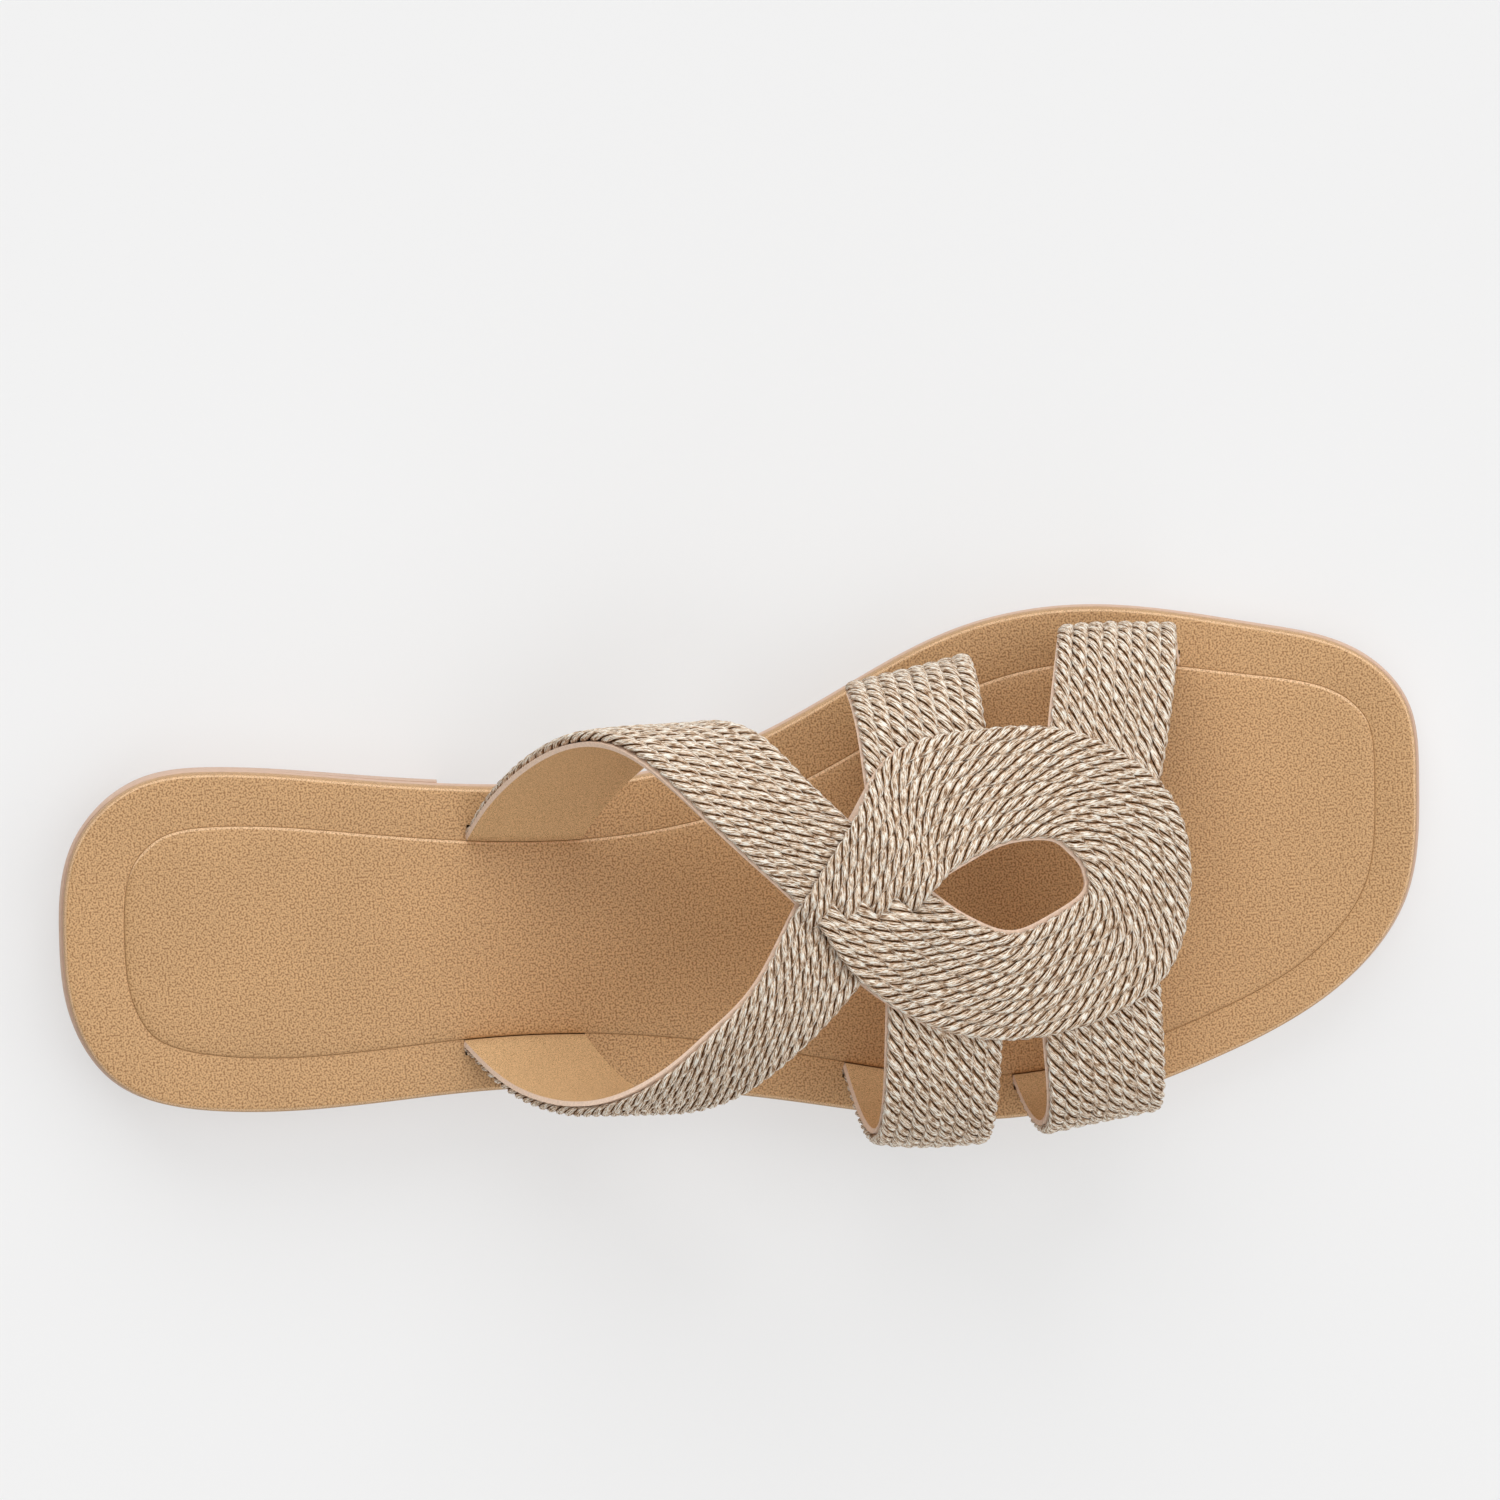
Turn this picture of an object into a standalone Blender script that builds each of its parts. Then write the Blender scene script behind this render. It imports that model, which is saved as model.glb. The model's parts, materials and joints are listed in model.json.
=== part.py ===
"""A right woven mule: a flat slide sandal, its upper a looped band of cords and four side straps.

Toe towards +X, big-toe side towards +Y, floor at z = 0. Worked in millimetres, written in metres.
"""

import bmesh
import bpy
import numpy as np
from mathutils import Matrix, Vector

MM = 0.001

# Driving dimensions, in millimetres.
LENGTH = 256.0
BALL_WIDTH = 95.0
INSTEP_HEIGHT = 54.0  # inside height from footbed to straps, where the straps cross
HEEL_HEIGHT = 10.0
HEEL_LENGTH = 73.0
TOE_SPRING = 4.5
OUTSOLE_THICKNESS = 3.0
OUTSOLE_LIP = 0.2  # how far the outsole stands out past the footbed's sides
OUTSOLE_END_LIP = 0.9  # the same at heel and toe
HEEL_FLARE = 0.3  # the heel block's corner at its breast, past the narrowing waist
HEEL_FLARE_FROM = 0.4  # share of the heel's length where the flare starts
FOOTBED_THICKNESS = 5.0
INSOLE_RECESS = 1.2
STRAP_LINING = 0.8
CORD_HEIGHT = 2.2
CORD_VALLEY = 0.8  # height of the valley between two cords, above the lining
CORDS_PER_STRAP = 8
CROSSING_LIFT = 1.8  # the strap on top stands this much higher where two straps cross
CROSSING_LEAD = 0.45  # it starts to rise and ends its fall this far outside, as a share of the crossing
CROSSING_RAMP = 0.4  # share of the crossing over which it rises or falls
CROSSING_BLEND = 0.3  # share of the crossing over which one strap goes from under to over
SLOT_DEPTH = 3.4
TAIL_DEPTH = 3.0
SLOT_NECK = 2.0  # a strap stands upright this far out of its slot
SLOT_CLEARANCE = 0.4
GAP = 0.3

# How finely the curved pieces are cut into faces.
OUTLINE_POINTS = 96
STRAP_STEP = 5.6
LINING_POINTS = 5
SLOT_STEPS = 6
FINE_POINTS = 600
CORNER_WEIGHT = 25.0  # millimetres of outline that a turn of one radian counts for

# Where the sole leaves the floor, as shares of the length: heel to ball, then ball to toe.
WAIST_FROM = 0.215
WAIST_TO = 0.605
TOE_FROM = 0.80

# Footbed outline. Columns: share of the length from the heel, share of the ball width towards the big-toe side.
FOOTBED_OUTLINE = {
    "heel back": (0.005, 0.011),
    "heel back medial": (0.023, 0.216),
    "heel corner medial": (0.070, 0.314),
    "heel side medial": (0.125, 0.324),
    "waist rear medial": (0.227, 0.284),
    "waist medial": (0.359, 0.240),
    "waist front medial": (0.500, 0.276),
    "ball rear medial": (0.586, 0.372),
    "ball medial": (0.672, 0.469),
    "ball front medial": (0.766, 0.495),
    "big toe": (0.893, 0.428),
    "toe corner medial": (0.967, 0.352),
    "toe corner": (0.9945, 0.258),
    "toe": (0.9985, 0.100),
    "toe lateral": (0.982, -0.135),
    "toe corner lateral": (0.936, -0.283),
    "little toe": (0.838, -0.415),
    "ball lateral": (0.684, -0.500),
    "waist front lateral": (0.514, -0.422),
    "waist lateral": (0.297, -0.347),
    "heel side lateral": (0.107, -0.340),
    "heel corner lateral": (0.034, -0.264),
    "heel back lateral": (0.006, -0.105),
}

# Rim of the footbed around the padded insole. Columns: share of the length, width of the rim on the big-toe
# side and on the little-toe side.
RIM = (
    (0.00, 11.8, 11.8),
    (0.16, 10.0, 10.4),
    (0.40, 10.6, 10.4),
    (0.60, 11.3, 8.9),
    (0.80, 10.3, 8.6),
    (1.00, 8.2, 8.2),
)

# Sections of the last that the straps lie on. Columns: share of the length; outermost points of the big-toe
# and little-toe sides and the ridge, as shares of the ball width; height, as a share of the instep height.
LAST = (
    (0.273, 0.276, -0.332, -0.010, 1.222),
    (0.391, 0.331, -0.356, -0.010, 1.176),
    (0.508, 0.332, -0.398, 0.000, 1.074),
    (0.586, 0.375, -0.478, 0.010, 0.981),
    (0.664, 0.402, -0.494, 0.021, 0.861),
    (0.742, 0.444, -0.476, 0.032, 0.731),
    (0.840, 0.427, -0.450, 0.042, 0.500),
)
LAST_FROM = 0.23
LAST_TO = 0.88
LAST_STEEPNESS = 0.5  # 0 sends a strap straight up out of its slot, 1 sends it far outwards
LAST_RISE = 0.26  # height of the lower side's pull, as a share of the section's height
HALF_GIRTH = 1.5 * INSTEP_HEIGHT  # rough way from the ridge down to a slot

# A strap's sections. Columns: outer or rear edge, then inner or front edge, each as a share of the length and
# a share of the way down the last (1 at the big-toe side's slot, -1 at the other); depth below the last.
LOOP_STRAP = {
    "medial slot": (0.303, 1.000, 0.386, 1.000, 0.0),
    "medial rise": (0.322, 0.850, 0.408, 0.890, 0.0),
    "medial fold": (0.371, 0.585, 0.464, 0.640, 0.0),
    "medial instep": (0.430, 0.360, 0.514, 0.420, 0.0),
    "medial neck": (0.484, 0.165, 0.546, 0.272, 0.0),
    "crossing from medial": (0.531, 0.000, 0.572, 0.174, 0.0),
    "crossing to lateral": (0.572, -0.187, 0.627, -0.016, 0.0),
    "lower limb rear": (0.621, -0.308, 0.654, -0.090, 0.0),
    "lower limb": (0.680, -0.385, 0.684, -0.140, 0.0),
    "lower limb front": (0.746, -0.394, 0.714, -0.122, 0.0),
    "toe lateral": (0.793, -0.330, 0.737, -0.088, 0.0),
    "toe": (0.817, -0.090, 0.740, -0.035, 0.0),
    "toe medial": (0.803, 0.174, 0.732, 0.015, 0.0),
    "upper limb front": (0.758, 0.315, 0.719, 0.060, 0.0),
    "upper limb": (0.691, 0.376, 0.688, 0.072, 0.0),
    "upper limb rear": (0.613, 0.330, 0.655, 0.036, 0.3),
    "crossing to medial": (0.573, 0.165, 0.627, -0.016, 0.7),
    "crossing from lateral": (0.532, 0.000, 0.572, -0.190, 0.7),
    "lateral neck": (0.498, -0.160, 0.546, -0.266, 0.4),
    "lateral instep": (0.453, -0.283, 0.498, -0.402, 0.0),
    "lateral fold": (0.386, -0.478, 0.436, -0.600, 0.0),
    "lateral rise": (0.328, -0.735, 0.402, -0.800, 0.0),
    "lateral slot": (0.289, -1.000, 0.377, -1.000, 0.0),
}
SIDE_STRAPS = {
    "mid medial": {
        "end": (0.592, 0.170, 0.684, 0.170, 2.6),
        "loop edge": (0.590, 0.330, 0.681, 0.370, 2.4),
        "fold": (0.585, 0.600, 0.678, 0.660, 0.4),
        "slot": (0.599, 1.000, 0.679, 1.000, 0.0),
    },
    "front medial": {
        "end": (0.720, 0.200, 0.801, 0.130, 2.6),
        "loop edge": (0.727, 0.370, 0.810, 0.270, 2.4),
        "fold": (0.742, 0.730, 0.827, 0.700, 0.4),
        "slot": (0.750, 1.000, 0.832, 1.000, 0.0),
    },
    "mid lateral": {
        "end": (0.596, -0.160, 0.678, -0.260, 2.6),
        "loop edge": (0.592, -0.270, 0.674, -0.380, 2.4),
        "fold": (0.576, -0.680, 0.660, -0.700, 0.4),
        "slot": (0.564, -1.000, 0.650, -1.000, 0.0),
    },
    "front lateral": {
        "end": (0.707, -0.280, 0.795, -0.240, 2.6),
        "loop edge": (0.705, -0.395, 0.793, -0.360, 2.4),
        "fold": (0.702, -0.650, 0.788, -0.700, 0.4),
        "slot": (0.686, -1.000, 0.775, -1.000, 0.0),
    },
}

# Profiles of the sole's pieces, from the underside round to the top. Columns: inset, height.
OUTSOLE_PROFILE = ((0.7, 0.0), (0.0, 0.6), (0.0, 2.6), (0.4, 3.0))
FOOTBED_EDGE = ((1.0, 0.0), (0.2, 0.6), (0.0, 1.6), (0.0, 2.7), (0.4, 3.9), (1.3, 4.7), (2.8, 5.0))
INSOLE_PROFILE = ((0.4, -0.9), (0.0, -0.5), (0.2, 0.0), (1.0, 0.35), (4.0, 0.6), (12.0, 0.7))
HEEL_PROFILE = ((0.6, 0.0), (0.0, 0.6))

# Colours in linear light, roughness and metallic value of each piece.
FINISHES = {
    "outsole": ((0.56, 0.36, 0.26), 0.55, 0.0),
    "heel": ((0.56, 0.36, 0.26), 0.55, 0.0),
    "footbed": ((0.55, 0.31, 0.14), 0.50, 0.0),
    "insole": ((0.55, 0.31, 0.14), 0.50, 0.0),
    "upper": ((0.55, 0.42, 0.30), 0.42, 0.5),
}


def clear_scene():
    for obj in list(bpy.data.objects):
        bpy.data.objects.remove(obj, do_unlink=True)


def smooth_step(value):
    share = np.clip(value, 0.0, 1.0)
    return share * share * (3.0 - 2.0 * share)


def curve_through(knots, values, at):
    """A smooth curve through a table's column, straight past its two ends."""
    knots, values, at = (np.asarray(list_, float) for list_ in (knots, values, at))
    slopes = np.gradient(values, knots)
    left = np.clip(np.searchsorted(knots, at) - 1, 0, len(knots) - 2)
    span = knots[left + 1] - knots[left]
    t = np.clip((at - knots[left]) / span, 0.0, 1.0)
    curve = (2 * t**3 - 3 * t**2 + 1) * values[left] + (t**3 - 2 * t**2 + t) * span * slopes[left]
    curve += (3 * t**2 - 2 * t**3) * values[left + 1] + (t**3 - t**2) * span * slopes[left + 1]
    before = np.minimum(at - knots[0], 0.0) * slopes[0]
    after = np.maximum(at - knots[-1], 0.0) * slopes[-1]
    return curve + before + after


def closed_curve(points, halfway, count):
    """A closed cubic spline through the points, cut equally often before and after the point at index halfway.

    The cuts are even in length plus turn, so that they lie closer together in the corners.
    """
    points = np.asarray(points, float)
    following = np.roll(points, -1, axis=0)
    span = np.linalg.norm(following - points, axis=1)
    run = np.concatenate([[0.0], np.cumsum(span)])
    size = len(points)
    system = np.zeros((size, size))
    for i in range(size):
        system[i, i - 1] = span[i - 1]
        system[i, i] = 2.0 * (span[i - 1] + span[i])
        system[i, (i + 1) % size] = span[i]
    rate = (following - points) / span[:, None]
    bend = np.linalg.solve(system, 6.0 * (rate - np.roll(rate, 1, axis=0)))

    def spline(at):
        k = np.clip(np.searchsorted(run, at, side="right") - 1, 0, size - 1)
        width = span[k][:, None]
        b = (at - run[k])[:, None] / width
        a = 1.0 - b
        bow = (a**3 - a) * bend[k] + (b**3 - b) * bend[(k + 1) % size]
        return a * points[k] + b * points[(k + 1) % size] + bow * width**2 / 6.0

    halves = []
    for start, end in ((0.0, run[halfway]), (run[halfway], run[-1])):
        fine = np.linspace(start, end, FINE_POINTS)
        step = np.diff(spline(fine), axis=0)
        turn = np.abs(np.gradient(np.unwrap(np.arctan2(step[:, 1], step[:, 0]))))
        measure = np.concatenate([[0.0], np.cumsum(np.linalg.norm(step, axis=1) + CORNER_WEIGHT * turn)])
        even = np.linspace(0.0, measure[-1], count // 2, endpoint=False)
        halves.append(spline(np.interp(even, measure, fine)))
    return np.concatenate(halves)


def inset(loop, distance):
    """The closed loop moved inwards by a distance, one for all its points or one for each."""
    along = np.roll(loop, -1, axis=0) - np.roll(loop, 1, axis=0)
    along /= np.linalg.norm(along, axis=1)[:, None]
    inwards = np.stack([along[:, 1], -along[:, 0]], axis=1)
    return loop + inwards * np.reshape(distance, (-1, 1))


def underside(x):
    """Height of the outsole's underside: up on the heel, flat on the floor at the ball, up at the toe."""
    share = np.asarray(x, float) / LENGTH
    waist = smooth_step((share - WAIST_FROM) / (WAIST_TO - WAIST_FROM))
    toe = np.maximum(share - TOE_FROM, 0.0) / (1.0 - TOE_FROM)
    return HEEL_HEIGHT * (1.0 - waist) + TOE_SPRING * toe**2


def footbed_bottom(x):
    return underside(x) + OUTSOLE_THICKNESS + GAP


def footbed_top(x):
    return footbed_bottom(x) + FOOTBED_THICKNESS


def rim_width(x, side):
    knots, medial, lateral = zip(*RIM)
    return curve_through(knots, medial if side > 0 else lateral, np.asarray(x) / LENGTH)


def footbed_loop(count=OUTLINE_POINTS):
    places = list(FOOTBED_OUTLINE)
    points = np.array(list(FOOTBED_OUTLINE.values())) * (LENGTH, BALL_WIDTH)
    return closed_curve(points, places.index("toe"), count)


def rim_loop(outward=0.0):
    """The line between rim and insole, moved outwards by a distance."""
    loop = footbed_loop()
    half = len(loop) // 2
    width = np.concatenate([rim_width(loop[:half, 0], 1), rim_width(loop[half:, 0], -1)])
    return inset(loop, width - outward)


def slot_line(side, outward=0.0):
    """The big-toe (+1) or little-toe (-1) half of the line that the slots lie on, from heel to toe."""
    loop = rim_loop(outward)
    half = len(loop) // 2
    if side > 0:
        return loop[: half + 1]
    return np.concatenate([loop[half:], loop[:1]])[::-1]


class Last:
    """The surface under the straps. A place on it is a share of the length and a share of the way down."""

    SECTIONS = 166
    POINTS = 61
    FITTING_STEPS = 12

    def __init__(self):
        self.x = np.linspace(LAST_FROM, LAST_TO, self.SECTIONS) * LENGTH
        self.down = np.linspace(0.0, 1.0, self.POINTS)
        self.sides = {side: self._side(side) for side in (1, -1)}

    def _side(self, side):
        columns = [curve_through([row[0] for row in LAST], [row[i] for row in LAST], self.x / LENGTH)
                   for i in range(1, 5)]
        widest = columns[0 if side > 0 else 1] * BALL_WIDTH * side
        ridge = columns[2] * BALL_WIDTH * side
        height = columns[3] * INSTEP_HEIGHT
        line = slot_line(side, SLOT_CLEARANCE)
        slot = np.interp(self.x, line[:, 0], line[:, 1]) * side
        base = footbed_top(self.x) + SLOT_NECK
        rows = [self._half_arch(*sizes) for sizes in zip(slot, widest, ridge, height - SLOT_NECK)]
        across = np.array([row[0] for row in rows]) * side
        up = np.array([row[1] for row in rows]) + base[:, None]
        return np.stack([np.repeat(self.x[:, None], self.POINTS, axis=1), across, up], axis=2)

    def _half_arch(self, slot, widest, ridge, height):
        """A cubic from the ridge down to the slot that just reaches the widest point."""
        t = np.linspace(0.0, 1.0, 4 * self.POINTS)
        shoulder = widest
        for _ in range(self.FITTING_STEPS):
            hip = slot + LAST_STEEPNESS * (shoulder - slot)
            across = (1 - t)**3 * ridge + 3 * (1 - t)**2 * t * shoulder + 3 * (1 - t) * t**2 * hip + t**3 * slot
            shoulder += widest - across.max()
        up = height * ((1 - t)**3 + 3 * (1 - t)**2 * t + 3 * (1 - t) * t**2 * LAST_RISE)
        run = np.concatenate([[0.0], np.cumsum(np.hypot(np.diff(across), np.diff(up)))])
        even = self.down * run[-1]
        return np.interp(even, run, across), np.interp(even, run, up)

    def point(self, x, down):
        """Points on the last for arrays of x and of shares of the way down."""
        x, down = np.broadcast_arrays(x, down)
        column = np.clip((x - self.x[0]) / (self.x[1] - self.x[0]), 0, self.SECTIONS - 1.001)
        row = np.clip(np.abs(down) * (self.POINTS - 1), 0, self.POINTS - 1.001)
        i, j = column.astype(int), row.astype(int)
        a, b = (column - i)[..., None], (row - j)[..., None]
        found = np.zeros(x.shape + (3,))
        for side, grid in self.sides.items():
            here = (down >= 0) == (side > 0)
            near = grid[i, j] * (1 - b) + grid[i, j + 1] * b
            far = grid[i + 1, j] * (1 - b) + grid[i + 1, j + 1] * b
            found[here] = (near * (1 - a) + far * a)[here]
        return found


def add_object(name, mesh, collection=None):
    obj = bpy.data.objects.new(name, mesh)
    (collection or bpy.context.scene.collection).objects.link(obj)
    return obj


def closed_mesh(name, points, faces):
    """A mesh from points in millimetres, its faces turned to point out."""
    work = bmesh.new()
    corners = [work.verts.new(Vector(point) * MM) for point in points]
    for face in faces:
        work.faces.new([corners[i] for i in face])
    bmesh.ops.triangulate(work, faces=work.faces[:])
    bmesh.ops.recalc_face_normals(work, faces=work.faces[:])
    if work.calc_volume(signed=True) < 0:
        bmesh.ops.reverse_faces(work, faces=work.faces[:])
    mesh = bpy.data.meshes.new(name)
    work.to_mesh(mesh)
    work.free()
    return mesh


def stacked_loops(name, loops):
    """A closed solid from loops of equal count, its two ends closed by ribs from side to side."""
    count = len(loops[0])
    points = np.concatenate(loops)
    faces = []
    for level in range(len(loops) - 1):
        low, high = level * count, (level + 1) * count
        for i in range(count):
            j = (i + 1) % count
            faces.append((low + i, low + j, high + j, high + i))
    for start in (0, (len(loops) - 1) * count):
        for i in range(count // 2):
            rib = [start + i, start + i + 1, start + (count - i - 1) % count, start + (count - i) % count]
            faces.append(list(dict.fromkeys(rib)))
    return closed_mesh(name, points, faces)


def at_height(loop, surface, height):
    """The flat loop laid at a height above a surface that depends on x."""
    return np.column_stack([loop, surface(loop[:, 0]) + height])


def outsole_loop():
    """The outsole's outline: the footbed's, standing out a little at the sides and more at heel and toe."""
    loop = inset(footbed_loop(), -OUTSOLE_LIP)
    towards_toe = 2.0 * loop[:, :1] / LENGTH - 1.0
    return loop + towards_toe * (OUTSOLE_END_LIP - OUTSOLE_LIP, 0.0)


def make_outsole():
    loop = outsole_loop()
    loops = [at_height(inset(loop, edge), underside, height) for edge, height in OUTSOLE_PROFILE]
    return add_object("outsole", stacked_loops("outsole", loops))


def make_heel():
    """A low block under the rear of the outsole, cut off straight at its breast."""
    loop = outsole_loop()
    half = len(loop) // 2
    sides = []
    for line in (loop[: half + 1], np.concatenate([loop[:1], loop[:half - 1:-1]])):
        run = np.concatenate([[0.0], np.cumsum(np.linalg.norm(np.diff(line, axis=0), axis=1))])
        breast = np.interp(HEEL_LENGTH, line[:, 0], run)
        even = np.linspace(0.0, breast, half // 2)
        side = np.column_stack([np.interp(even, run, line[:, i]) for i in (0, 1)])
        flare = smooth_step(side[:, 0] / HEEL_LENGTH - HEEL_FLARE_FROM)
        side[:, 1] += HEEL_FLARE * np.sign(side[-1, 1]) * flare
        sides.append(side)
    outline = np.concatenate([sides[0], sides[1][:0:-1]])
    loops = [np.column_stack([inset(outline, edge), np.full(len(outline), height)])
             for edge, height in HEEL_PROFILE]
    loops.append(at_height(outline, underside, -GAP))
    return add_object("heel", stacked_loops("heel", loops))


def slot_ends():
    """Each slot's rear and front end along the length, and its side of the shoe."""
    rows = [LOOP_STRAP["medial slot"], LOOP_STRAP["lateral slot"]]
    rows += [strap["slot"] for strap in SIDE_STRAPS.values()]
    return [(row[0] * LENGTH, row[2] * LENGTH, np.sign(row[1])) for row in rows]


def make_slot_cutter(name, rear, front, side, collection):
    """A curved box along the rim's line, for one strap's tail to go down into."""
    depth = STRAP_LINING + CORD_HEIGHT + 2 * SLOT_CLEARANCE
    tail_line = slot_line(side, SLOT_CLEARANCE)
    steps = np.arange(len(tail_line))
    ends = np.interp([rear - SLOT_CLEARANCE, front + SLOT_CLEARANCE], tail_line[:, 0], steps)
    at = np.linspace(*ends, SLOT_STEPS)
    edges = []
    for outward in (-SLOT_CLEARANCE, depth):
        line = slot_line(side, outward)
        edges.append(np.column_stack([np.interp(at, steps, line[:, i]) for i in (0, 1)]))
    outline = np.concatenate([edges[0], edges[1][::-1]])
    levels = (-SLOT_DEPTH, FOOTBED_THICKNESS)
    loops = [at_height(outline, footbed_top, level) for level in levels]
    count = len(outline)
    faces = [(i, (i + 1) % count, count + (i + 1) % count, count + i) for i in range(count)]
    for start in (0, count):
        for i in range(SLOT_STEPS - 1):
            faces.append([start + k for k in (i, i + 1, count - i - 2, count - i - 1)])
    cutter = add_object(name, closed_mesh(name, np.concatenate(loops), faces), collection)
    cutter.hide_render = True
    cutter.display_type = "WIRE"
    return cutter


def make_footbed():
    """The wrapped board: soft outer edge, flat rim, shallow recess for the insole, and the straps' slots."""
    outer = footbed_loop()
    loops = [at_height(inset(outer, edge), footbed_bottom, height) for edge, height in FOOTBED_EDGE]
    for outward, below in ((2 * GAP, 0.0), (GAP, GAP), (GAP, INSOLE_RECESS)):
        loops.append(at_height(rim_loop(outward), footbed_top, -below))
    footbed = add_object("footbed", stacked_loops("footbed", loops))
    cutters = bpy.data.collections.new("slot_cutters")
    bpy.context.scene.collection.children.link(cutters)
    for number, (rear, front, side) in enumerate(slot_ends()):
        make_slot_cutter(f"slot_cutter_{number}", rear, front, side, cutters)
    cut = footbed.modifiers.new("slots", "BOOLEAN")
    cut.operation = "DIFFERENCE"
    cut.solver = "EXACT"
    cut.operand_type = "COLLECTION"
    cut.collection = cutters
    return footbed


def make_insole():
    loop = rim_loop()
    loops = [at_height(inset(loop, edge), footbed_top, height) for edge, height in INSOLE_PROFILE]
    return add_object("insole", stacked_loops("insole", loops))


def strap_run(rows):
    """How far along the strap each of its rows lies, roughly in millimetres."""
    table = np.array(list(rows.values()))
    middle = (table[:, 0:2] + table[:, 2:4]) / 2 * (LENGTH, HALF_GIRTH)
    return np.concatenate([[0.0], np.cumsum(np.linalg.norm(np.diff(middle, axis=0), axis=1))])


def crossing_lift(rows, run, at, across):
    """Extra height where the looped strap crosses itself: each pass starts under the other and ends over it."""
    lift = np.zeros((len(at), len(across)))
    if "crossing from medial" not in rows:
        return lift
    places = dict(zip(rows, run))
    for side, other in (("medial", "lateral"), ("lateral", "medial")):
        start, end = places[f"crossing from {side}"], places[f"crossing to {other}"]
        passed = ((at - start) / (end - start))[:, None]
        rise = smooth_step((passed + CROSSING_LEAD) / CROSSING_RAMP)
        fall = smooth_step((1.0 + CROSSING_LEAD - passed) / CROSSING_RAMP)
        over = smooth_step((passed - across[None, :]) / CROSSING_BLEND + 0.5)
        lift += CROSSING_LIFT * rise * fall * over
    return lift


def strap_grid(rows, last, across):
    """Points of a strap's inner face, along by across, the directions out of that face and any extra height.

    An end at a slot goes on straight down as a tail.
    """
    table = np.array(list(rows.values()))
    run = strap_run(rows)
    at = np.linspace(0.0, run[-1], int(round(run[-1] / STRAP_STEP)) + 1)
    outer_x, outer_down, inner_x, inner_down, depth = (curve_through(run, column, at) for column in table.T)
    across = np.asarray(across)[None, :]
    x = (outer_x[:, None] * (1 - across) + inner_x[:, None] * across) * LENGTH
    down = outer_down[:, None] * (1 - across) + inner_down[:, None] * across
    points = last.point(x, down)
    lift = crossing_lift(rows, run, at, across[0])
    before, after = (int(abs(table[end, 1]) == 1.0) for end in (0, -1))
    first_tail, last_tail = (points[[end]] - (0, 0, SLOT_NECK + TAIL_DEPTH) for end in (0, -1))
    points = np.concatenate([first_tail[:before], points, last_tail[:after]])
    depth = np.pad(depth, (before, after), mode="edge")
    lift = np.pad(lift, ((before, after), (0, 0)), mode="edge")
    out = np.cross(np.gradient(points, axis=0), np.gradient(points, axis=1))
    out /= np.linalg.norm(out, axis=2)[..., None]
    inside = points.mean(axis=(0, 1)) * (1, 0, 0) + (0, 0, HEEL_HEIGHT + OUTSOLE_THICKNESS)
    if np.sum(out * (points - inside)) < 0:
        out = -out
    return points - out * depth[:, None, None], out, lift


def end_triangles(top_count, under):
    """Triangles that close a strap's end, each top edge joined to the nearest point of the lining."""
    lining = {int(column): top_count + i for i, column in enumerate(under)}
    columns = sorted(lining)
    nearest = [min(columns, key=lambda column: abs(column - j - 0.5)) for j in range(top_count - 1)]
    triangles = [(j, j + 1, lining[near]) for j, near in enumerate(nearest)]
    for j in range(1, top_count - 1):
        if nearest[j] != nearest[j - 1]:
            triangles.append((j, lining[nearest[j]], lining[nearest[j - 1]]))
    return triangles


def make_strap(name, rows, last):
    """One strap as a closed wall with its cords raised on the outer face."""
    across = np.linspace(0.0, 1.0, 2 * CORDS_PER_STRAP + 1)
    face, out, lift = strap_grid(rows, last, across)
    ridge = np.where(np.arange(len(across)) % 2, CORD_HEIGHT, CORD_VALLEY)
    top = face + out * (STRAP_LINING + ridge + lift)[..., None]
    under = np.linspace(len(across) - 1, 0, LINING_POINTS).astype(int)
    rings = np.concatenate([top, face[:, under]], axis=1)
    length, size = rings.shape[:2]
    faces = []
    for i in range(length - 1):
        for j in range(size):
            k = (j + 1) % size
            faces.append((i * size + j, i * size + k, (i + 1) * size + k, (i + 1) * size + j))
    for start in (0, (length - 1) * size):
        faces += [[start + j for j in triangle] for triangle in end_triangles(len(across), under)]
    return add_object(name, closed_mesh(name, rings.reshape(-1, 3), faces))


def make_upper(last):
    """The looped strap and the four side straps, joined into one wall."""
    helpers = bpy.data.collections.new("side_straps")
    bpy.context.scene.collection.children.link(helpers)
    upper = make_strap("upper", LOOP_STRAP, last)
    for name, rows in SIDE_STRAPS.items():
        strap = make_strap(name.replace(" ", "_"), rows, last)
        bpy.context.scene.collection.objects.unlink(strap)
        helpers.objects.link(strap)
        strap.hide_render = True
        strap.display_type = "WIRE"
    join = upper.modifiers.new("join", "BOOLEAN")
    join.operation = "UNION"
    join.solver = "EXACT"
    join.use_self = True
    join.operand_type = "COLLECTION"
    join.collection = helpers
    return upper


def stand_at_origin():
    """Moves the whole shoe so that the middle of its box, on the floor, is the origin."""
    solids = [obj for obj in bpy.data.objects if "cutter" not in obj.name]
    corners = np.array([corner for obj in solids for corner in obj.bound_box])
    low, high = corners.min(axis=0), corners.max(axis=0)
    middle = Vector(((low[0] + high[0]) / 2, (low[1] + high[1]) / 2, low[2]))
    for obj in bpy.data.objects:
        obj.data.transform(Matrix.Translation(-middle))


def give_finish(obj):
    colour, roughness, metallic = FINISHES[obj.name]
    material = bpy.data.materials.new(f"{obj.name}_finish")
    material.use_nodes = True
    shader = material.node_tree.nodes["Principled BSDF"]
    shader.inputs["Base Color"].default_value = (*colour, 1.0)
    shader.inputs["Roughness"].default_value = roughness
    shader.inputs["Metallic"].default_value = metallic
    obj.data.materials.append(material)


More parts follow.
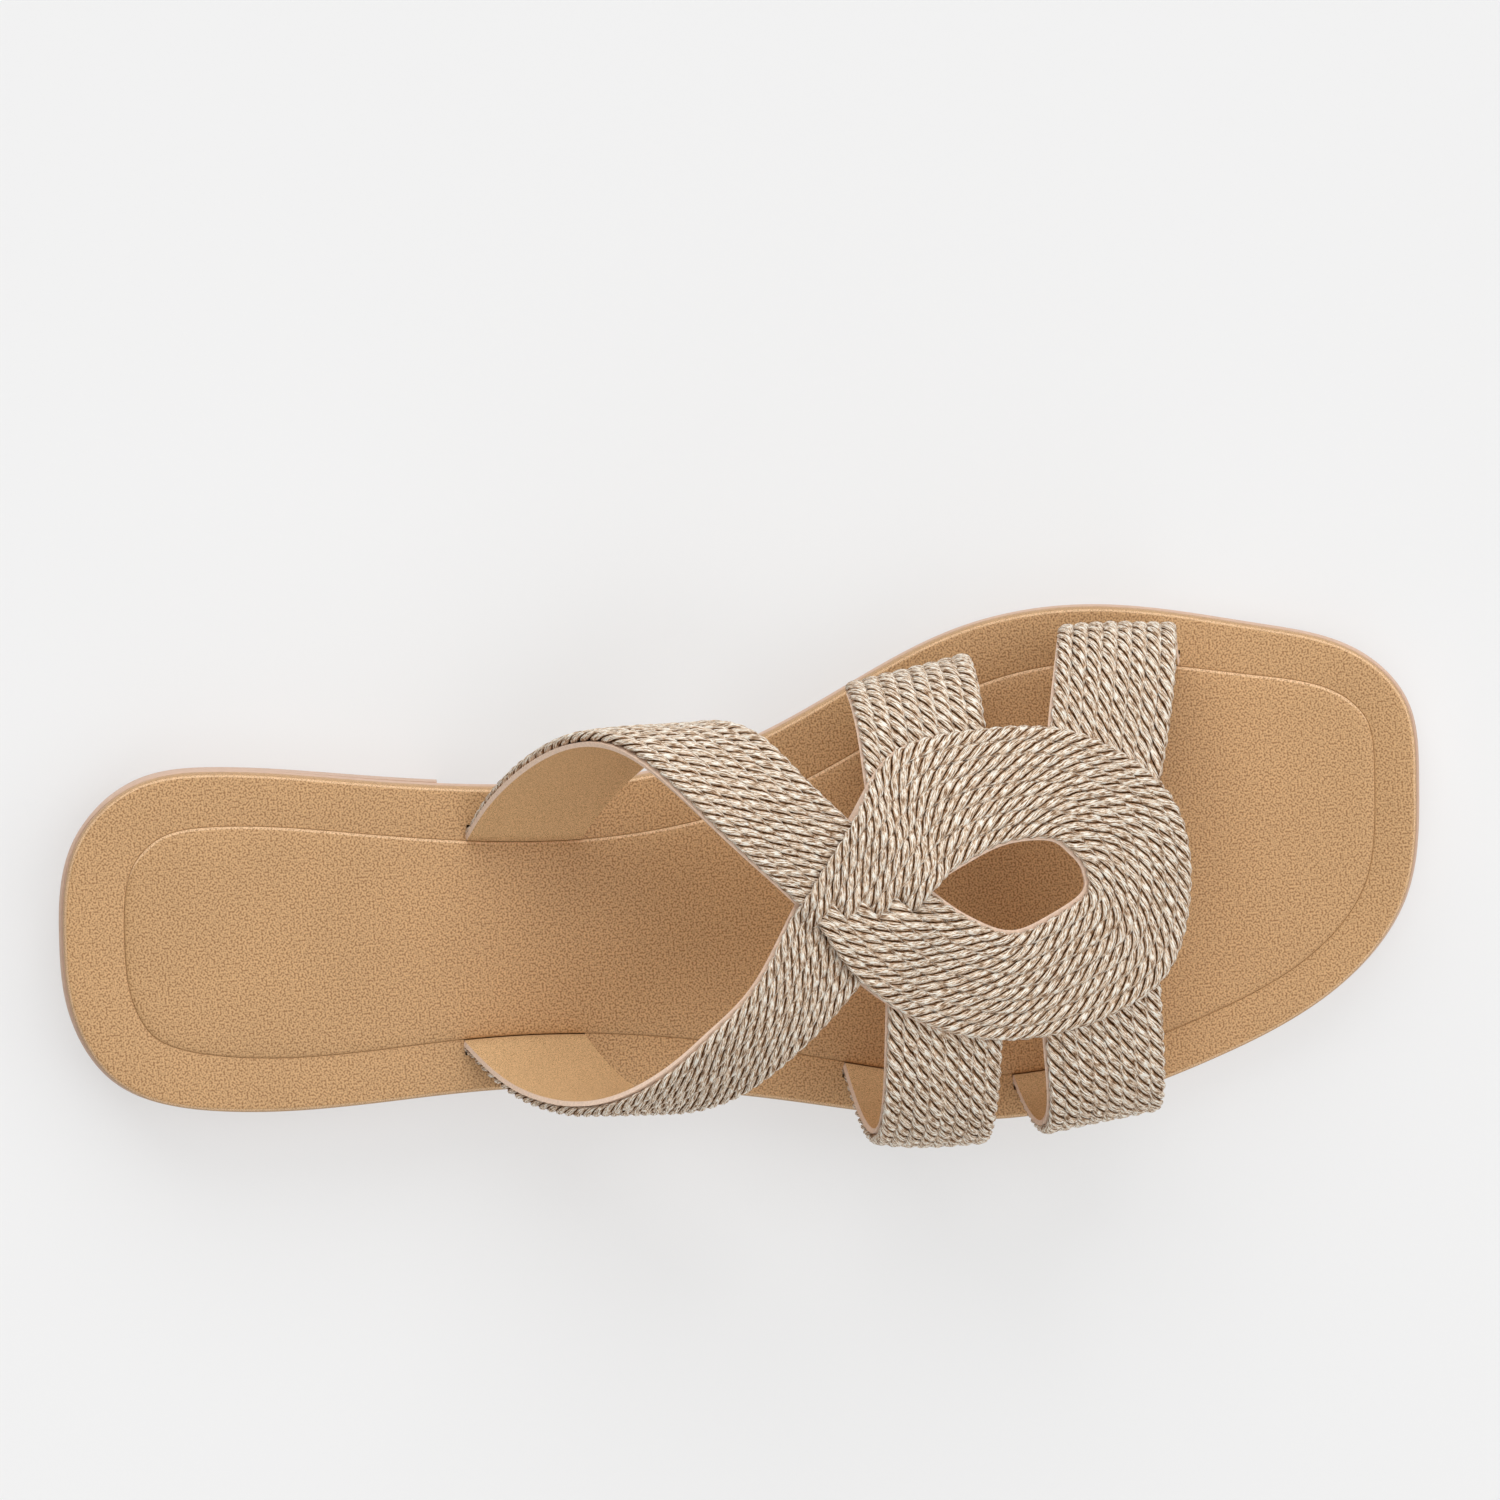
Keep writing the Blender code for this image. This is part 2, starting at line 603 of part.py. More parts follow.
def main():
    clear_scene()
    last = Last()
    pieces = [make_outsole(), make_heel(), make_footbed(), make_insole(), make_upper(last)]
    for piece in pieces:
        give_finish(piece)
    stand_at_origin()


if __name__ == "__main__":
    main()
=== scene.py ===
"""Looks of a right woven mule: leatherette footbed, rubber sole, and straps of twisted metallic cords.

The shapes are worked in millimetres from the heel's back, with the toe towards +X and the big-toe side
towards +Y, and moved into the frame's place and metres when a mesh is made.
"""

import json
import math

import bmesh
import bpy
import numpy as np
from mathutils import Matrix, Vector

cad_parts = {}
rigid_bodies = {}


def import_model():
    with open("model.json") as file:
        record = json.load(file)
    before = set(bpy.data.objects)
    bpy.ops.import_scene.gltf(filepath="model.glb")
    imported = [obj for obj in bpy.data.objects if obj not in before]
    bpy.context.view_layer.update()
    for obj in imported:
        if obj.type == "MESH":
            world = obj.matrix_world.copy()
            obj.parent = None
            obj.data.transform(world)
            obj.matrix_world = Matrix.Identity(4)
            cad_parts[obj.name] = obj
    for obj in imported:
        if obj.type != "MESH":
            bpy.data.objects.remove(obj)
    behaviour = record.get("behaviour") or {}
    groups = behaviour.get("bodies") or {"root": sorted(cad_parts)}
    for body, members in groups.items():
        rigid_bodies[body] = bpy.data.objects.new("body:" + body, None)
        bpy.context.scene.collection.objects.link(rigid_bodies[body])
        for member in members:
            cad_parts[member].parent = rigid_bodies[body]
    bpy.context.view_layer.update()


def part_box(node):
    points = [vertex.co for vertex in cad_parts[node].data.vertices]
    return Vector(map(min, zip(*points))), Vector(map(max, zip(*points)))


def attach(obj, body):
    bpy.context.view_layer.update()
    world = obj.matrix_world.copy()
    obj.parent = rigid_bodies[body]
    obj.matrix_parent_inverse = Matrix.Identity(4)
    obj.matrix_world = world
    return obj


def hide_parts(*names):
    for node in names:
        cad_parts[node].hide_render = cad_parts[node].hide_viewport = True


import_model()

MM = 0.001

# Driving dimensions of the shoe, in millimetres.
LENGTH = 256.0
BALL_WIDTH = 95.0
INSTEP_HEIGHT = 54.0  # inside height from footbed to straps, where the straps cross
HEEL_HEIGHT = 10.0
HEEL_LENGTH = 73.0
TOE_SPRING = 4.5
OUTSOLE_THICKNESS = 3.0
OUTSOLE_LIP = 0.2  # how far the outsole stands out past the footbed's sides
OUTSOLE_END_LIP = 0.9  # the same at heel and toe
HEEL_FLARE = 0.3  # the heel block's corner at its breast, past the narrowing waist
HEEL_FLARE_FROM = 0.4  # share of the heel's length where the flare starts
FOOTBED_THICKNESS = 5.0
INSOLE_RECESS = 1.2
STRAP_LINING = 0.9
LINING_BEVEL = 0.012  # share of a strap's width by which the inner face is narrower at each edge
LOOP_BORDERS = (0.15, 0.35)  # how far the long band's lining goes past its outer and inner cord
SIDE_BORDERS = (0.1, 0.1)  # the same on the side straps
CORDS_PER_STRAP = 8
SLOT_DEPTH = 3.4
TAIL_DEPTH = 3.0
SLOT_NECK = 2.0  # a strap stands upright this far out of its slot
SLOT_CLEARANCE = 0.4  # from the rim's line out to a strap's tail
SLOT_WIDTH = 3.05
SLOT_INNER_GAP = 0.25  # dark line where a lining goes down
GAP = 0.3  # between outsole and footbed
HEEL_GAP = GAP / 3  # between heel and outsole

# Cords: three plies twisted together, sewn side by side on the lining.
CORD_PITCH = 2.75
CORD_MARGIN = 0.014  # share of a strap's width left free along each edge
PLIES = 3
PLY_OFFSET = 0.92  # from the cord's middle to a ply's middle
PLY_RADIUS = 0.80
CORD_FLATTENING = 0.62  # height of a sewn cord against its width
CORD_SINK = 0.12  # how far a cord is pressed into the lining
LEAD = 8.4  # length of one full twist
LEAD_WANDER = 0.5  # largest slow shift of the twist along a cord, in radians
WANDER_WAVES = (9.0, 23.0)  # millimetres along a cord for one radian of each of the shift's two waves
PAIRS = CORDS_PER_STRAP // 2  # cords go over and under in pairs where the band crosses itself
# Extra height of a pass of the band where it is on top, by the side of the shoe that it starts at.
CROSSING_LIFT = {"medial": 1.9, "lateral": 2.6}
CROSSING_LEAD = 0.45  # it starts to rise and ends its fall this far outside, as a share of the crossing
CROSSING_RAMP = 0.4  # share of the crossing over which it rises or falls
CROSSING_BLEND = 0.18  # share of the crossing over which a cord goes from under to over

# Where the sole leaves the floor, as shares of the length: heel to ball, then ball to toe.
WAIST_FROM = 0.215
WAIST_TO = 0.605
TOE_FROM = 0.80

# How finely the surfaces are cut.
OUTLINE_POINTS = 360
PROFILE_STEPS = 4  # faces between two points of a profile
SLOT_STEPS = 6
FINE_POINTS = 1200
CORNER_WEIGHT = 25.0  # millimetres of outline that a turn of one radian counts for
STRAP_STEP = 2.0
LINING_STEPS = 9
CORD_STEP = 0.5
PLY_SIDES = 8

# Footbed outline. Columns: share of the length from the heel, share of the ball width towards the big-toe
# side.
FOOTBED_OUTLINE = {
    "heel back": (0.005, 0.011),
    "heel back medial": (0.023, 0.216),
    "heel corner medial": (0.070, 0.314),
    "heel side medial": (0.125, 0.324),
    "waist rear medial": (0.227, 0.284),
    "waist medial": (0.359, 0.240),
    "waist front medial": (0.500, 0.276),
    "ball rear medial": (0.586, 0.372),
    "ball medial": (0.672, 0.469),
    "ball front medial": (0.766, 0.495),
    "big toe": (0.893, 0.428),
    "toe corner medial": (0.967, 0.352),
    "toe corner": (0.9945, 0.258),
    "toe": (0.9985, 0.100),
    "toe lateral": (0.982, -0.135),
    "toe corner lateral": (0.936, -0.283),
    "little toe": (0.838, -0.415),
    "ball lateral": (0.684, -0.500),
    "waist front lateral": (0.514, -0.422),
    "waist lateral": (0.297, -0.347),
    "heel side lateral": (0.107, -0.340),
    "heel corner lateral": (0.034, -0.264),
    "heel back lateral": (0.006, -0.105),
}

# Rim of the footbed around the padded insole. Columns: share of the length, width of the rim on the big-toe
# side and on the little-toe side.
RIM = (
    (0.00, 11.8, 11.8),
    (0.16, 10.0, 10.4),
    (0.40, 10.6, 10.4),
    (0.60, 11.3, 8.9),
    (0.80, 10.3, 8.6),
    (1.00, 8.2, 8.2),
)

# Sections of the last that the straps lie on. Columns: share of the length; outermost points of the big-toe
# and little-toe sides and the ridge, as shares of the ball width; height, as a share of the instep height.
LAST = (
    (0.273, 0.276, -0.332, -0.010, 1.222),
    (0.391, 0.331, -0.356, -0.010, 1.176),
    (0.508, 0.332, -0.398, 0.000, 1.074),
    (0.586, 0.375, -0.478, 0.010, 0.981),
    (0.664, 0.402, -0.494, 0.021, 0.861),
    (0.742, 0.444, -0.476, 0.032, 0.731),
    (0.840, 0.427, -0.450, 0.042, 0.500),
)
LAST_FROM = 0.23
LAST_TO = 0.88
LAST_STEEPNESS = 0.5  # 0 sends a strap straight up out of its slot, 1 sends it far outwards
LAST_RISE = 0.26  # height of the lower side's pull, as a share of the section's height
HALF_GIRTH = 1.5 * INSTEP_HEIGHT  # rough way from the ridge down to a slot

# A strap's sections. Columns: outer or rear edge, then inner or front edge, each as a share of the length and
# a share of the way down the last (1 at the big-toe side's slot, -1 at the other); depth below the last.
LOOP_STRAP = {
    "medial slot": (0.303, 1.000, 0.386, 1.000, 0.0),
    "medial rise": (0.322, 0.850, 0.408, 0.890, 0.0),
    "medial fold": (0.371, 0.585, 0.464, 0.640, 0.0),
    "medial instep": (0.430, 0.360, 0.514, 0.420, 0.0),
    "medial neck": (0.484, 0.165, 0.546, 0.272, 0.0),
    "crossing from medial": (0.531, 0.000, 0.572, 0.174, 0.0),
    "crossing to lateral": (0.572, -0.187, 0.627, -0.016, 0.0),
    "lower limb rear": (0.621, -0.308, 0.654, -0.090, 0.0),
    "lower limb": (0.680, -0.385, 0.684, -0.140, 0.0),
    "lower limb front": (0.746, -0.394, 0.714, -0.122, 0.0),
    "toe lateral": (0.793, -0.330, 0.737, -0.088, 0.0),
    "toe": (0.817, -0.090, 0.740, -0.035, 0.0),
    "toe medial": (0.803, 0.174, 0.732, 0.015, 0.0),
    "upper limb front": (0.758, 0.315, 0.719, 0.060, 0.0),
    "upper limb": (0.691, 0.376, 0.688, 0.072, 0.0),
    "upper limb rear": (0.613, 0.330, 0.655, 0.036, 0.3),
    "crossing to medial": (0.573, 0.165, 0.627, -0.016, 0.7),
    "crossing from lateral": (0.532, 0.000, 0.572, -0.190, 0.7),
    "lateral neck": (0.498, -0.160, 0.546, -0.266, 0.4),
    "lateral instep": (0.453, -0.283, 0.498, -0.402, 0.0),
    "lateral fold": (0.386, -0.478, 0.436, -0.600, 0.0),
    "lateral rise": (0.328, -0.735, 0.402, -0.800, 0.0),
    "lateral slot": (0.289, -1.000, 0.377, -1.000, 0.0),
}
SIDE_STRAPS = {
    "mid medial": {
        "end": (0.592, 0.170, 0.684, 0.170, 2.6),
        "loop edge": (0.590, 0.330, 0.681, 0.370, 2.4),
        "fold": (0.585, 0.600, 0.678, 0.660, 0.4),
        "slot": (0.599, 1.000, 0.679, 1.000, 0.0),
    },
    "front medial": {
        "end": (0.720, 0.200, 0.801, 0.130, 2.6),
        "loop edge": (0.727, 0.370, 0.810, 0.270, 2.4),
        "fold": (0.742, 0.730, 0.827, 0.700, 0.4),
        "slot": (0.750, 1.000, 0.832, 1.000, 0.0),
    },
    "mid lateral": {
        "end": (0.596, -0.160, 0.678, -0.260, 2.6),
        "loop edge": (0.592, -0.270, 0.674, -0.380, 2.4),
        "fold": (0.576, -0.680, 0.660, -0.700, 0.4),
        "slot": (0.564, -1.000, 0.650, -1.000, 0.0),
    },
    "front lateral": {
        "end": (0.707, -0.280, 0.795, -0.240, 2.6),
        "loop edge": (0.705, -0.395, 0.793, -0.360, 2.4),
        "fold": (0.702, -0.650, 0.788, -0.700, 0.4),
        "slot": (0.686, -1.000, 0.775, -1.000, 0.0),
    },
}

# Profiles of the sole's pieces, from the underside round to the top. Columns: inset, height.
OUTSOLE_PROFILE = ((0.5, 0.0), (0.0, 0.35), (0.0, 0.9), (0.22, 2.5), (0.5, 3.0))
FOOTBED_EDGE = ((0.8, 0.0), (0.2, 0.4), (0.0, 1.3), (0.06, 2.6), (0.2, 3.8), (0.42, 4.5), (0.8, 4.88),
                (1.5, 5.0))
EDGE_PAINTED_HIGHLIGHT = (5, 6)  # painted highlight: the footbed's edge is paler between these points
INSOLE_PROFILE = ((0.2, -0.9), (-0.2, -0.5), (-0.2, -0.2), (-0.17, -0.03), (0.0, 0.1), (0.3, 0.21),
                  (0.9, 0.34), (1.8, 0.46), (4.0, 0.6))
INSOLE_PAINTED_HIGHLIGHT = (3, 5)  # and so is the insole's, where it leans to the big-toe side that the strongest light comes from: a painted highlight
HIGHLIGHT_LEAN = 0.2  # at least this far, as the sideways part of its direction
HEEL_PROFILE = ((0.6, 0.0), (0.0, 0.6))

# Edge of the recess that the insole lies in. Columns: way out from the insole, depth.
RECESS_EDGE = ((0.6, 0.0), (0.35, 0.04), (0.25, 0.1), (0.22, 0.2), (0.22, INSOLE_RECESS))

# Photograph's view, in the same millimetres: the camera looks nearly straight down, tipped towards the
# big-toe side and the heel, and turned a little.
IMAGE_SIZE = 1500  # pixels, both ways
CAMERA_DISTANCE = 1800.0
CAMERA_TIP_SIDE = math.radians(3.0)
CAMERA_TIP_HEEL = math.radians(1.5)
CAMERA_TURN = math.radians(5.0)
PIXELS_PER_MM = 5.36
VIEW_POINT = (128.0, 4.2, 12.0)  # this point of the shoe
VIEW_PIXEL = (740.0, 868.0)  # shows at this pixel
SENSOR = 36.0

# Colours in linear light.
WHITE = (1.0, 1.0, 1.0)
TAN = (0.565, 0.338, 0.161)
# Paler tan for the painted highlight on the footbed's and the insole's edges.
PAINTED_HIGHLIGHT_TAN = (0.76, 0.50, 0.285)
LINING_TAN = (0.73, 0.485, 0.255)
RAW_EDGE = (0.95, 0.72, 0.56)
SOLE_COLOUR = (0.66, 0.45, 0.33)
# Fibre streaks of the cords, dull and shiny; the near-white top stands in for painted glints.
CORD_STREAKS_AND_GLINTS = ((0.40, (0.24, 0.14, 0.078)), (0.50, (0.82, 0.61, 0.43)), (0.55, (1.0, 0.955, 0.855)))
FLOOR_COLOUR = (0.40, 0.40, 0.40)

# Painted shade on a ply towards the cracks where plies meet. Columns: turn from its outermost line, factor on
# the cord's colour.
CRACK_PAINTED_SHADE = ((0.18, WHITE), (0.23, (0.52, 0.36, 0.24)), (0.27, (0.04, 0.022, 0.012)))
OUTERMOST = 0.5  # that line, as a share of the way round the ply

# Tints that go with a surface's noise. Columns: noise, factor on the surface's colour.
GRAIN_TINTS = ((0.25, (0.60, 0.52, 0.44)), (0.50, WHITE), (0.75, (1.20, 1.20, 1.20)))
MOTTLE_TINTS = ((0.3, 0.95), (0.7, 1.0))
RUBBER_TINTS = ((0.3, 0.94), (0.7, 1.04))
RAW_EDGE_TINTS = ((0.3, 0.85), (0.7, 1.05))

# Noise on the surfaces. Columns: changes per metre, levels of finer detail.
FLAT_GRAIN = (2800.0, 0.0)  # leather, on faces that lie flat
STEEP_GRAIN = (5200.0, 0.0)  # leather, on steeper faces
FLAT_FROM = 0.9  # a face lies flat where the upward part of its direction is over this
MOTTLE = (60.0, 3.0)
RUBBER_GRAIN = (900.0, 4.0)
RAW_EDGE_GRAIN = (2500.0, 3.0)

# Fibres of a ply.
FIBRES_ROUND = 18.0  # fibres round a ply
FIBRE_BREAKS = 0.8  # changes along a fibre for each millimetre
FIBRE_SLANT = 0.04  # turns of a ply's fibres for each millimetre along it
FIBRE_SHIFT = 1000.0  # a ply's fibres start at random up to this many millimetres along
FIBRE_NOISE = (1.0, 3.0, 0.65)  # scale, levels of finer detail, and their strength

# Relief of the surfaces. Columns: strength, depth in metres.
FOOTBED_RELIEF = (0.5, 0.00012)
EDGE_RELIEF = (0.5, 0.00006)
LINING_RELIEF = (0.5, 0.00008)
RUBBER_RELIEF = (0.2, 0.0001)
FIBRE_RELIEF = (1.0, 0.0003)

# Roughness and shine of the surfaces.
LEATHER_ROUGHNESS = 0.5
LEATHER_SHINE = 0.3
RUBBER_ROUGHNESS = 0.6
RAW_EDGE_ROUGHNESS = 0.8
CORD_ROUGHNESS = 0.42
CORD_METAL = 0.3
FLOOR_ROUGHNESS = 0.9

# Light and floor.
FLOOR_SIZE = 6.0  # metres
FLOOR_GLOW = 0.47  # a lit floor, so that shadows on it stay faint
SURROUND_STRENGTH = 0.04
LIGHT_WIDTH = math.radians(60.0)

# Soft lights round the shoe. Columns: direction that the light comes from, strength.
LIGHTS = {
    "big-toe side": ((0.0, 0.87, 0.5), 1.82),
    "heel and big-toe side": ((-0.61, 0.61, 0.5), 0.18),
    "toe": ((0.71, 0.0, 0.71), 1.20),
    "little-toe side": ((0.0, -0.71, 0.71), 0.70),
    "overhead": ((0.0, 0.02, 1.0), 0.80),
}

SHARP_ANGLE = math.radians(50.0)
RANDOM = np.random.default_rng(7)


def smooth_step(value):
    """Rises smoothly from 0 to 1 while the value goes from 0 to 1."""
    share = np.clip(value, 0.0, 1.0)
    return share * share * (3.0 - 2.0 * share)


def unit(vectors):
    """The vector, or each vector of an array, at length 1."""
    vectors = np.asarray(vectors, float)
    return vectors / np.linalg.norm(vectors, axis=-1, keepdims=True)


def way_along(points):
    """How far each of the points lies along the line through them."""
    return np.concatenate([[0.0], np.cumsum(np.linalg.norm(np.diff(points, axis=0), axis=1))])


def points_at(at, run, points):
    """Points at any distances along a line, which is given by the distances and places of its own points."""
    return np.stack([np.interp(at, run, column) for column in points.T], axis=-1)


def curve_through(knots, values, at):
    """A smooth curve through a table's column, straight past its two ends."""
    knots, values, at = (np.asarray(column, float) for column in (knots, values, at))
    slopes = np.gradient(values, knots)
    left = np.clip(np.searchsorted(knots, at) - 1, 0, len(knots) - 2)
    span = knots[left + 1] - knots[left]
    t = np.clip((at - knots[left]) / span, 0.0, 1.0)
    curve = (2 * t**3 - 3 * t**2 + 1) * values[left] + (t**3 - 2 * t**2 + t) * span * slopes[left]
    curve += (3 * t**2 - 2 * t**3) * values[left + 1] + (t**3 - t**2) * span * slopes[left + 1]
    before = np.minimum(at - knots[0], 0.0) * slopes[0]
    after = np.maximum(at - knots[-1], 0.0) * slopes[-1]
    return curve + before + after


def closed_curve(points, halfway, count):
    """A closed cubic spline through the points, cut equally often before and after the one at halfway.

    The cuts are even in length plus turn, so that they lie closer together in the corners.
    """
    points = np.asarray(points, float)
    following = np.roll(points, -1, axis=0)
    span = np.linalg.norm(following - points, axis=1)
    run = np.concatenate([[0.0], np.cumsum(span)])
    size = len(points)
    system = np.zeros((size, size))
    for i in range(size):
        system[i, i - 1] = span[i - 1]
        system[i, i] = 2.0 * (span[i - 1] + span[i])
        system[i, (i + 1) % size] = span[i]
    rate = (following - points) / span[:, None]
    bend = np.linalg.solve(system, 6.0 * (rate - np.roll(rate, 1, axis=0)))

    def spline(at):
        k = np.clip(np.searchsorted(run, at, side="right") - 1, 0, size - 1)
        width = span[k][:, None]
        b = (at - run[k])[:, None] / width
        a = 1.0 - b
        bow = (a**3 - a) * bend[k] + (b**3 - b) * bend[(k + 1) % size]
        return a * points[k] + b * points[(k + 1) % size] + bow * width**2 / 6.0

    halves = []
    for start, end in ((0.0, run[halfway]), (run[halfway], run[-1])):
        fine = np.linspace(start, end, FINE_POINTS)
        step = np.diff(spline(fine), axis=0)
        turn = np.abs(np.gradient(np.unwrap(np.arctan2(step[:, 1], step[:, 0]))))
        measure = np.concatenate([[0.0], np.cumsum(np.linalg.norm(step, axis=1) + CORNER_WEIGHT * turn)])
        even = np.linspace(0.0, measure[-1], count // 2, endpoint=False)
        halves.append(spline(np.interp(even, measure, fine)))
    return np.concatenate(halves)


def inset(loop, distance):
    """The closed loop moved inwards by a distance, one for all its points or one for each."""
    along = unit(np.roll(loop, -1, axis=0) - np.roll(loop, 1, axis=0))
    inwards = np.stack([along[:, 1], -along[:, 0]], axis=1)
    return loop + inwards * np.reshape(distance, (-1, 1))


def underside(x):
    """Height of the outsole's underside: up on the heel, flat on the floor at the ball, up at the toe."""
    share = np.asarray(x, float) / LENGTH
    waist = smooth_step((share - WAIST_FROM) / (WAIST_TO - WAIST_FROM))
    toe = np.maximum(share - TOE_FROM, 0.0) / (1.0 - TOE_FROM)
    return HEEL_HEIGHT * (1.0 - waist) + TOE_SPRING * toe**2


def footbed_bottom(x):
    return underside(x) + OUTSOLE_THICKNESS + GAP


def footbed_top(x):
    return footbed_bottom(x) + FOOTBED_THICKNESS


def rim_width(x, side):
    knots, medial, lateral = zip(*RIM)
    return curve_through(knots, medial if side > 0 else lateral, np.asarray(x) / LENGTH)


def footbed_loop():
    """The footbed's outline from the heel's back round by the big-toe side."""
    places = list(FOOTBED_OUTLINE)
    points = np.array(list(FOOTBED_OUTLINE.values())) * (LENGTH, BALL_WIDTH)
    return closed_curve(points, places.index("toe"), OUTLINE_POINTS)


def rim_loop(outward=0.0):
    """The line between rim and insole, moved outwards by a distance."""
    loop = footbed_loop()
    half = len(loop) // 2
    width = np.concatenate([rim_width(loop[:half, 0], 1), rim_width(loop[half:, 0], -1)])
    return inset(loop, width - outward)


def slot_line(side, outward):
    """The big-toe (+1) or little-toe (-1) half of the line that the slots lie on, from heel to toe."""
    loop = rim_loop(outward)
    half = len(loop) // 2
    if side > 0:
        return loop[: half + 1]
    return np.concatenate([loop[half:], loop[:1]])[::-1]


class Last:
    """The surface under the straps. A place on it is a share of the length and a share of the way down."""

    SECTIONS = 166
    POINTS = 61
    FITTING_STEPS = 12
    INSIDE = 0.001  # places stop this share of a cell before the last point

    def __init__(self):
        self.x = np.linspace(LAST_FROM, LAST_TO, self.SECTIONS) * LENGTH
        self.down = np.linspace(0.0, 1.0, self.POINTS)
        self.sides = {side: self._side(side) for side in (1, -1)}

    def _side(self, side):
        knots, *columns = zip(*LAST)
        medial, lateral, ridge, height = (curve_through(knots, column, self.x / LENGTH) for column in columns)
        widest = (medial if side > 0 else lateral) * BALL_WIDTH * side
        ridge = ridge * BALL_WIDTH * side
        height = height * INSTEP_HEIGHT - SLOT_NECK
        line = slot_line(side, SLOT_CLEARANCE)
        slot = np.interp(self.x, line[:, 0], line[:, 1]) * side
        base = footbed_top(self.x) + SLOT_NECK
        rows = [self._half_arch(*sizes) for sizes in zip(slot, widest, ridge, height)]
        across = np.array([row[0] for row in rows]) * side
        up = np.array([row[1] for row in rows]) + base[:, None]
        return np.stack([np.repeat(self.x[:, None], self.POINTS, axis=1), across, up], axis=2)

    def _half_arch(self, slot, widest, ridge, height):
        """A cubic from the ridge down to the slot that just reaches the widest point."""
        t = np.linspace(0.0, 1.0, 4 * self.POINTS)
        weights = np.stack([(1 - t)**3, 3 * (1 - t)**2 * t, 3 * (1 - t) * t**2, t**3])
        shoulder = widest
        for _ in range(self.FITTING_STEPS):
            hip = slot + LAST_STEEPNESS * (shoulder - slot)
            across = np.array([ridge, shoulder, hip, slot]) @ weights
            shoulder += widest - across.max()
        up = height * np.array([1.0, 1.0, LAST_RISE, 0.0]) @ weights
        run = way_along(np.column_stack([across, up]))
        even = self.down * run[-1]
        return np.interp(even, run, across), np.interp(even, run, up)

    def point(self, x, down):
        """Points on the last for arrays of x and of shares of the way down."""
        x, down = np.broadcast_arrays(x, down)
        column = np.clip((x - self.x[0]) / (self.x[1] - self.x[0]), 0, self.SECTIONS - 1 - self.INSIDE)
        row = np.clip(np.abs(down) * (self.POINTS - 1), 0, self.POINTS - 1 - self.INSIDE)
        i, j = column.astype(int), row.astype(int)
        a, b = (column - i)[..., None], (row - j)[..., None]
        found = np.zeros(x.shape + (3,))
        for side, grid in self.sides.items():
            here = (down >= 0) == (side > 0)
            near = grid[i, j] * (1 - b) + grid[i, j + 1] * b
            far = grid[i + 1, j] * (1 - b) + grid[i + 1, j + 1] * b
            found[here] = (near * (1 - a) + far * a)[here]
        return found


def at_height(loop, surface, height):
    """The flat loop laid at a height above a surface that depends on x."""
    return np.column_stack([loop, surface(loop[:, 0]) + height])


def smooth_profile(profile):
    """The profile's points joined by a smooth curve, as finer points."""
    table = np.array(profile)
    run = way_along(table)
    steps = np.linspace(0, len(run) - 1, PROFILE_STEPS * (len(run) - 1) + 1)
    at = np.interp(steps, np.arange(len(run)), run)
    return np.column_stack([curve_through(run, column, at) for column in table.T])


def outsole_loop():
    """The outsole's outline: the footbed's, standing out a little at the sides and more at heel and toe."""
    loop = inset(footbed_loop(), -OUTSOLE_LIP)
    towards_toe = 2.0 * loop[:, :1] / LENGTH - 1.0
    return loop + towards_toe * (OUTSOLE_END_LIP - OUTSOLE_LIP, 0.0)


def frame_origin():
    """The frame's origin in the shoe's own millimetres, from where the footbed lies in the frame."""
    loop = footbed_loop()
    low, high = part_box("footbed")
    own = (loop.min(axis=0) + loop.max(axis=0)) / 2
    there = [(low[i] + high[i]) / 2 / MM for i in (0, 1)]
    return np.append(own - there, 0.0)


ORIGIN = frame_origin()


def new_mesh(name, points, faces):
    """A mesh in the frame's metres, shaded smooth."""
    mesh = bpy.data.meshes.new(name)
    corners = ((np.asarray(points) - ORIGIN) * MM).tolist()
    mesh.from_pydata(corners, [], [list(map(int, face)) for face in faces])
    mesh.shade_smooth()
    return mesh


def face_out(mesh):
    """Turns the faces of a closed mesh to point out."""
    work = bmesh.new()
    work.from_mesh(mesh)
    bmesh.ops.recalc_face_normals(work, faces=work.faces[:])
    if work.calc_volume(signed=True) < 0:
        bmesh.ops.reverse_faces(work, faces=work.faces[:])
    work.to_mesh(mesh)
    work.free()


def add_piece(name, mesh, node, slot, *materials):
    """A piece that stands for a CAD node, which it hides, with the materials given; its slot is not used."""
    piece = bpy.data.objects.new(name, mesh)
    bpy.context.scene.collection.objects.link(piece)
    for material in materials:
        mesh.materials.append(material)
    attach(piece, "root")
    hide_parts(node)
    return piece


def ring_walls(rings, count):
    """Faces between rings of so many points each, which are numbered one ring after another."""
    faces = []
    for low in range(0, (rings - 1) * count, count):
        for i in range(count):
            j = (i + 1) % count
            faces.append((low + i, low + j, low + count + j, low + count + i))
    return faces


def flat_end(start, count):
    """Faces that close a flat ring from one long side to the other. Its points are numbered from start."""
    return [[start + k for k in (i, i + 1, count - i - 2, count - i - 1)] for i in range(count // 2 - 1)]


def stacked_loops(name, loops):
    """A closed mesh from loops of equal count, its two ends closed by ribs from side to side."""
    count = len(loops[0])
    faces = ring_walls(len(loops), count)
    for start in (0, (len(loops) - 1) * count):
        for i in range(count // 2):
            rib = [start + i, start + i + 1, start + (count - i - 1) % count, start + (count - i) % count]
            faces.append(list(dict.fromkeys(rib)))
    mesh = new_mesh(name, np.concatenate(loops), faces)
    face_out(mesh)
    mesh.set_sharp_from_angle(angle=SHARP_ANGLE)
    return mesh


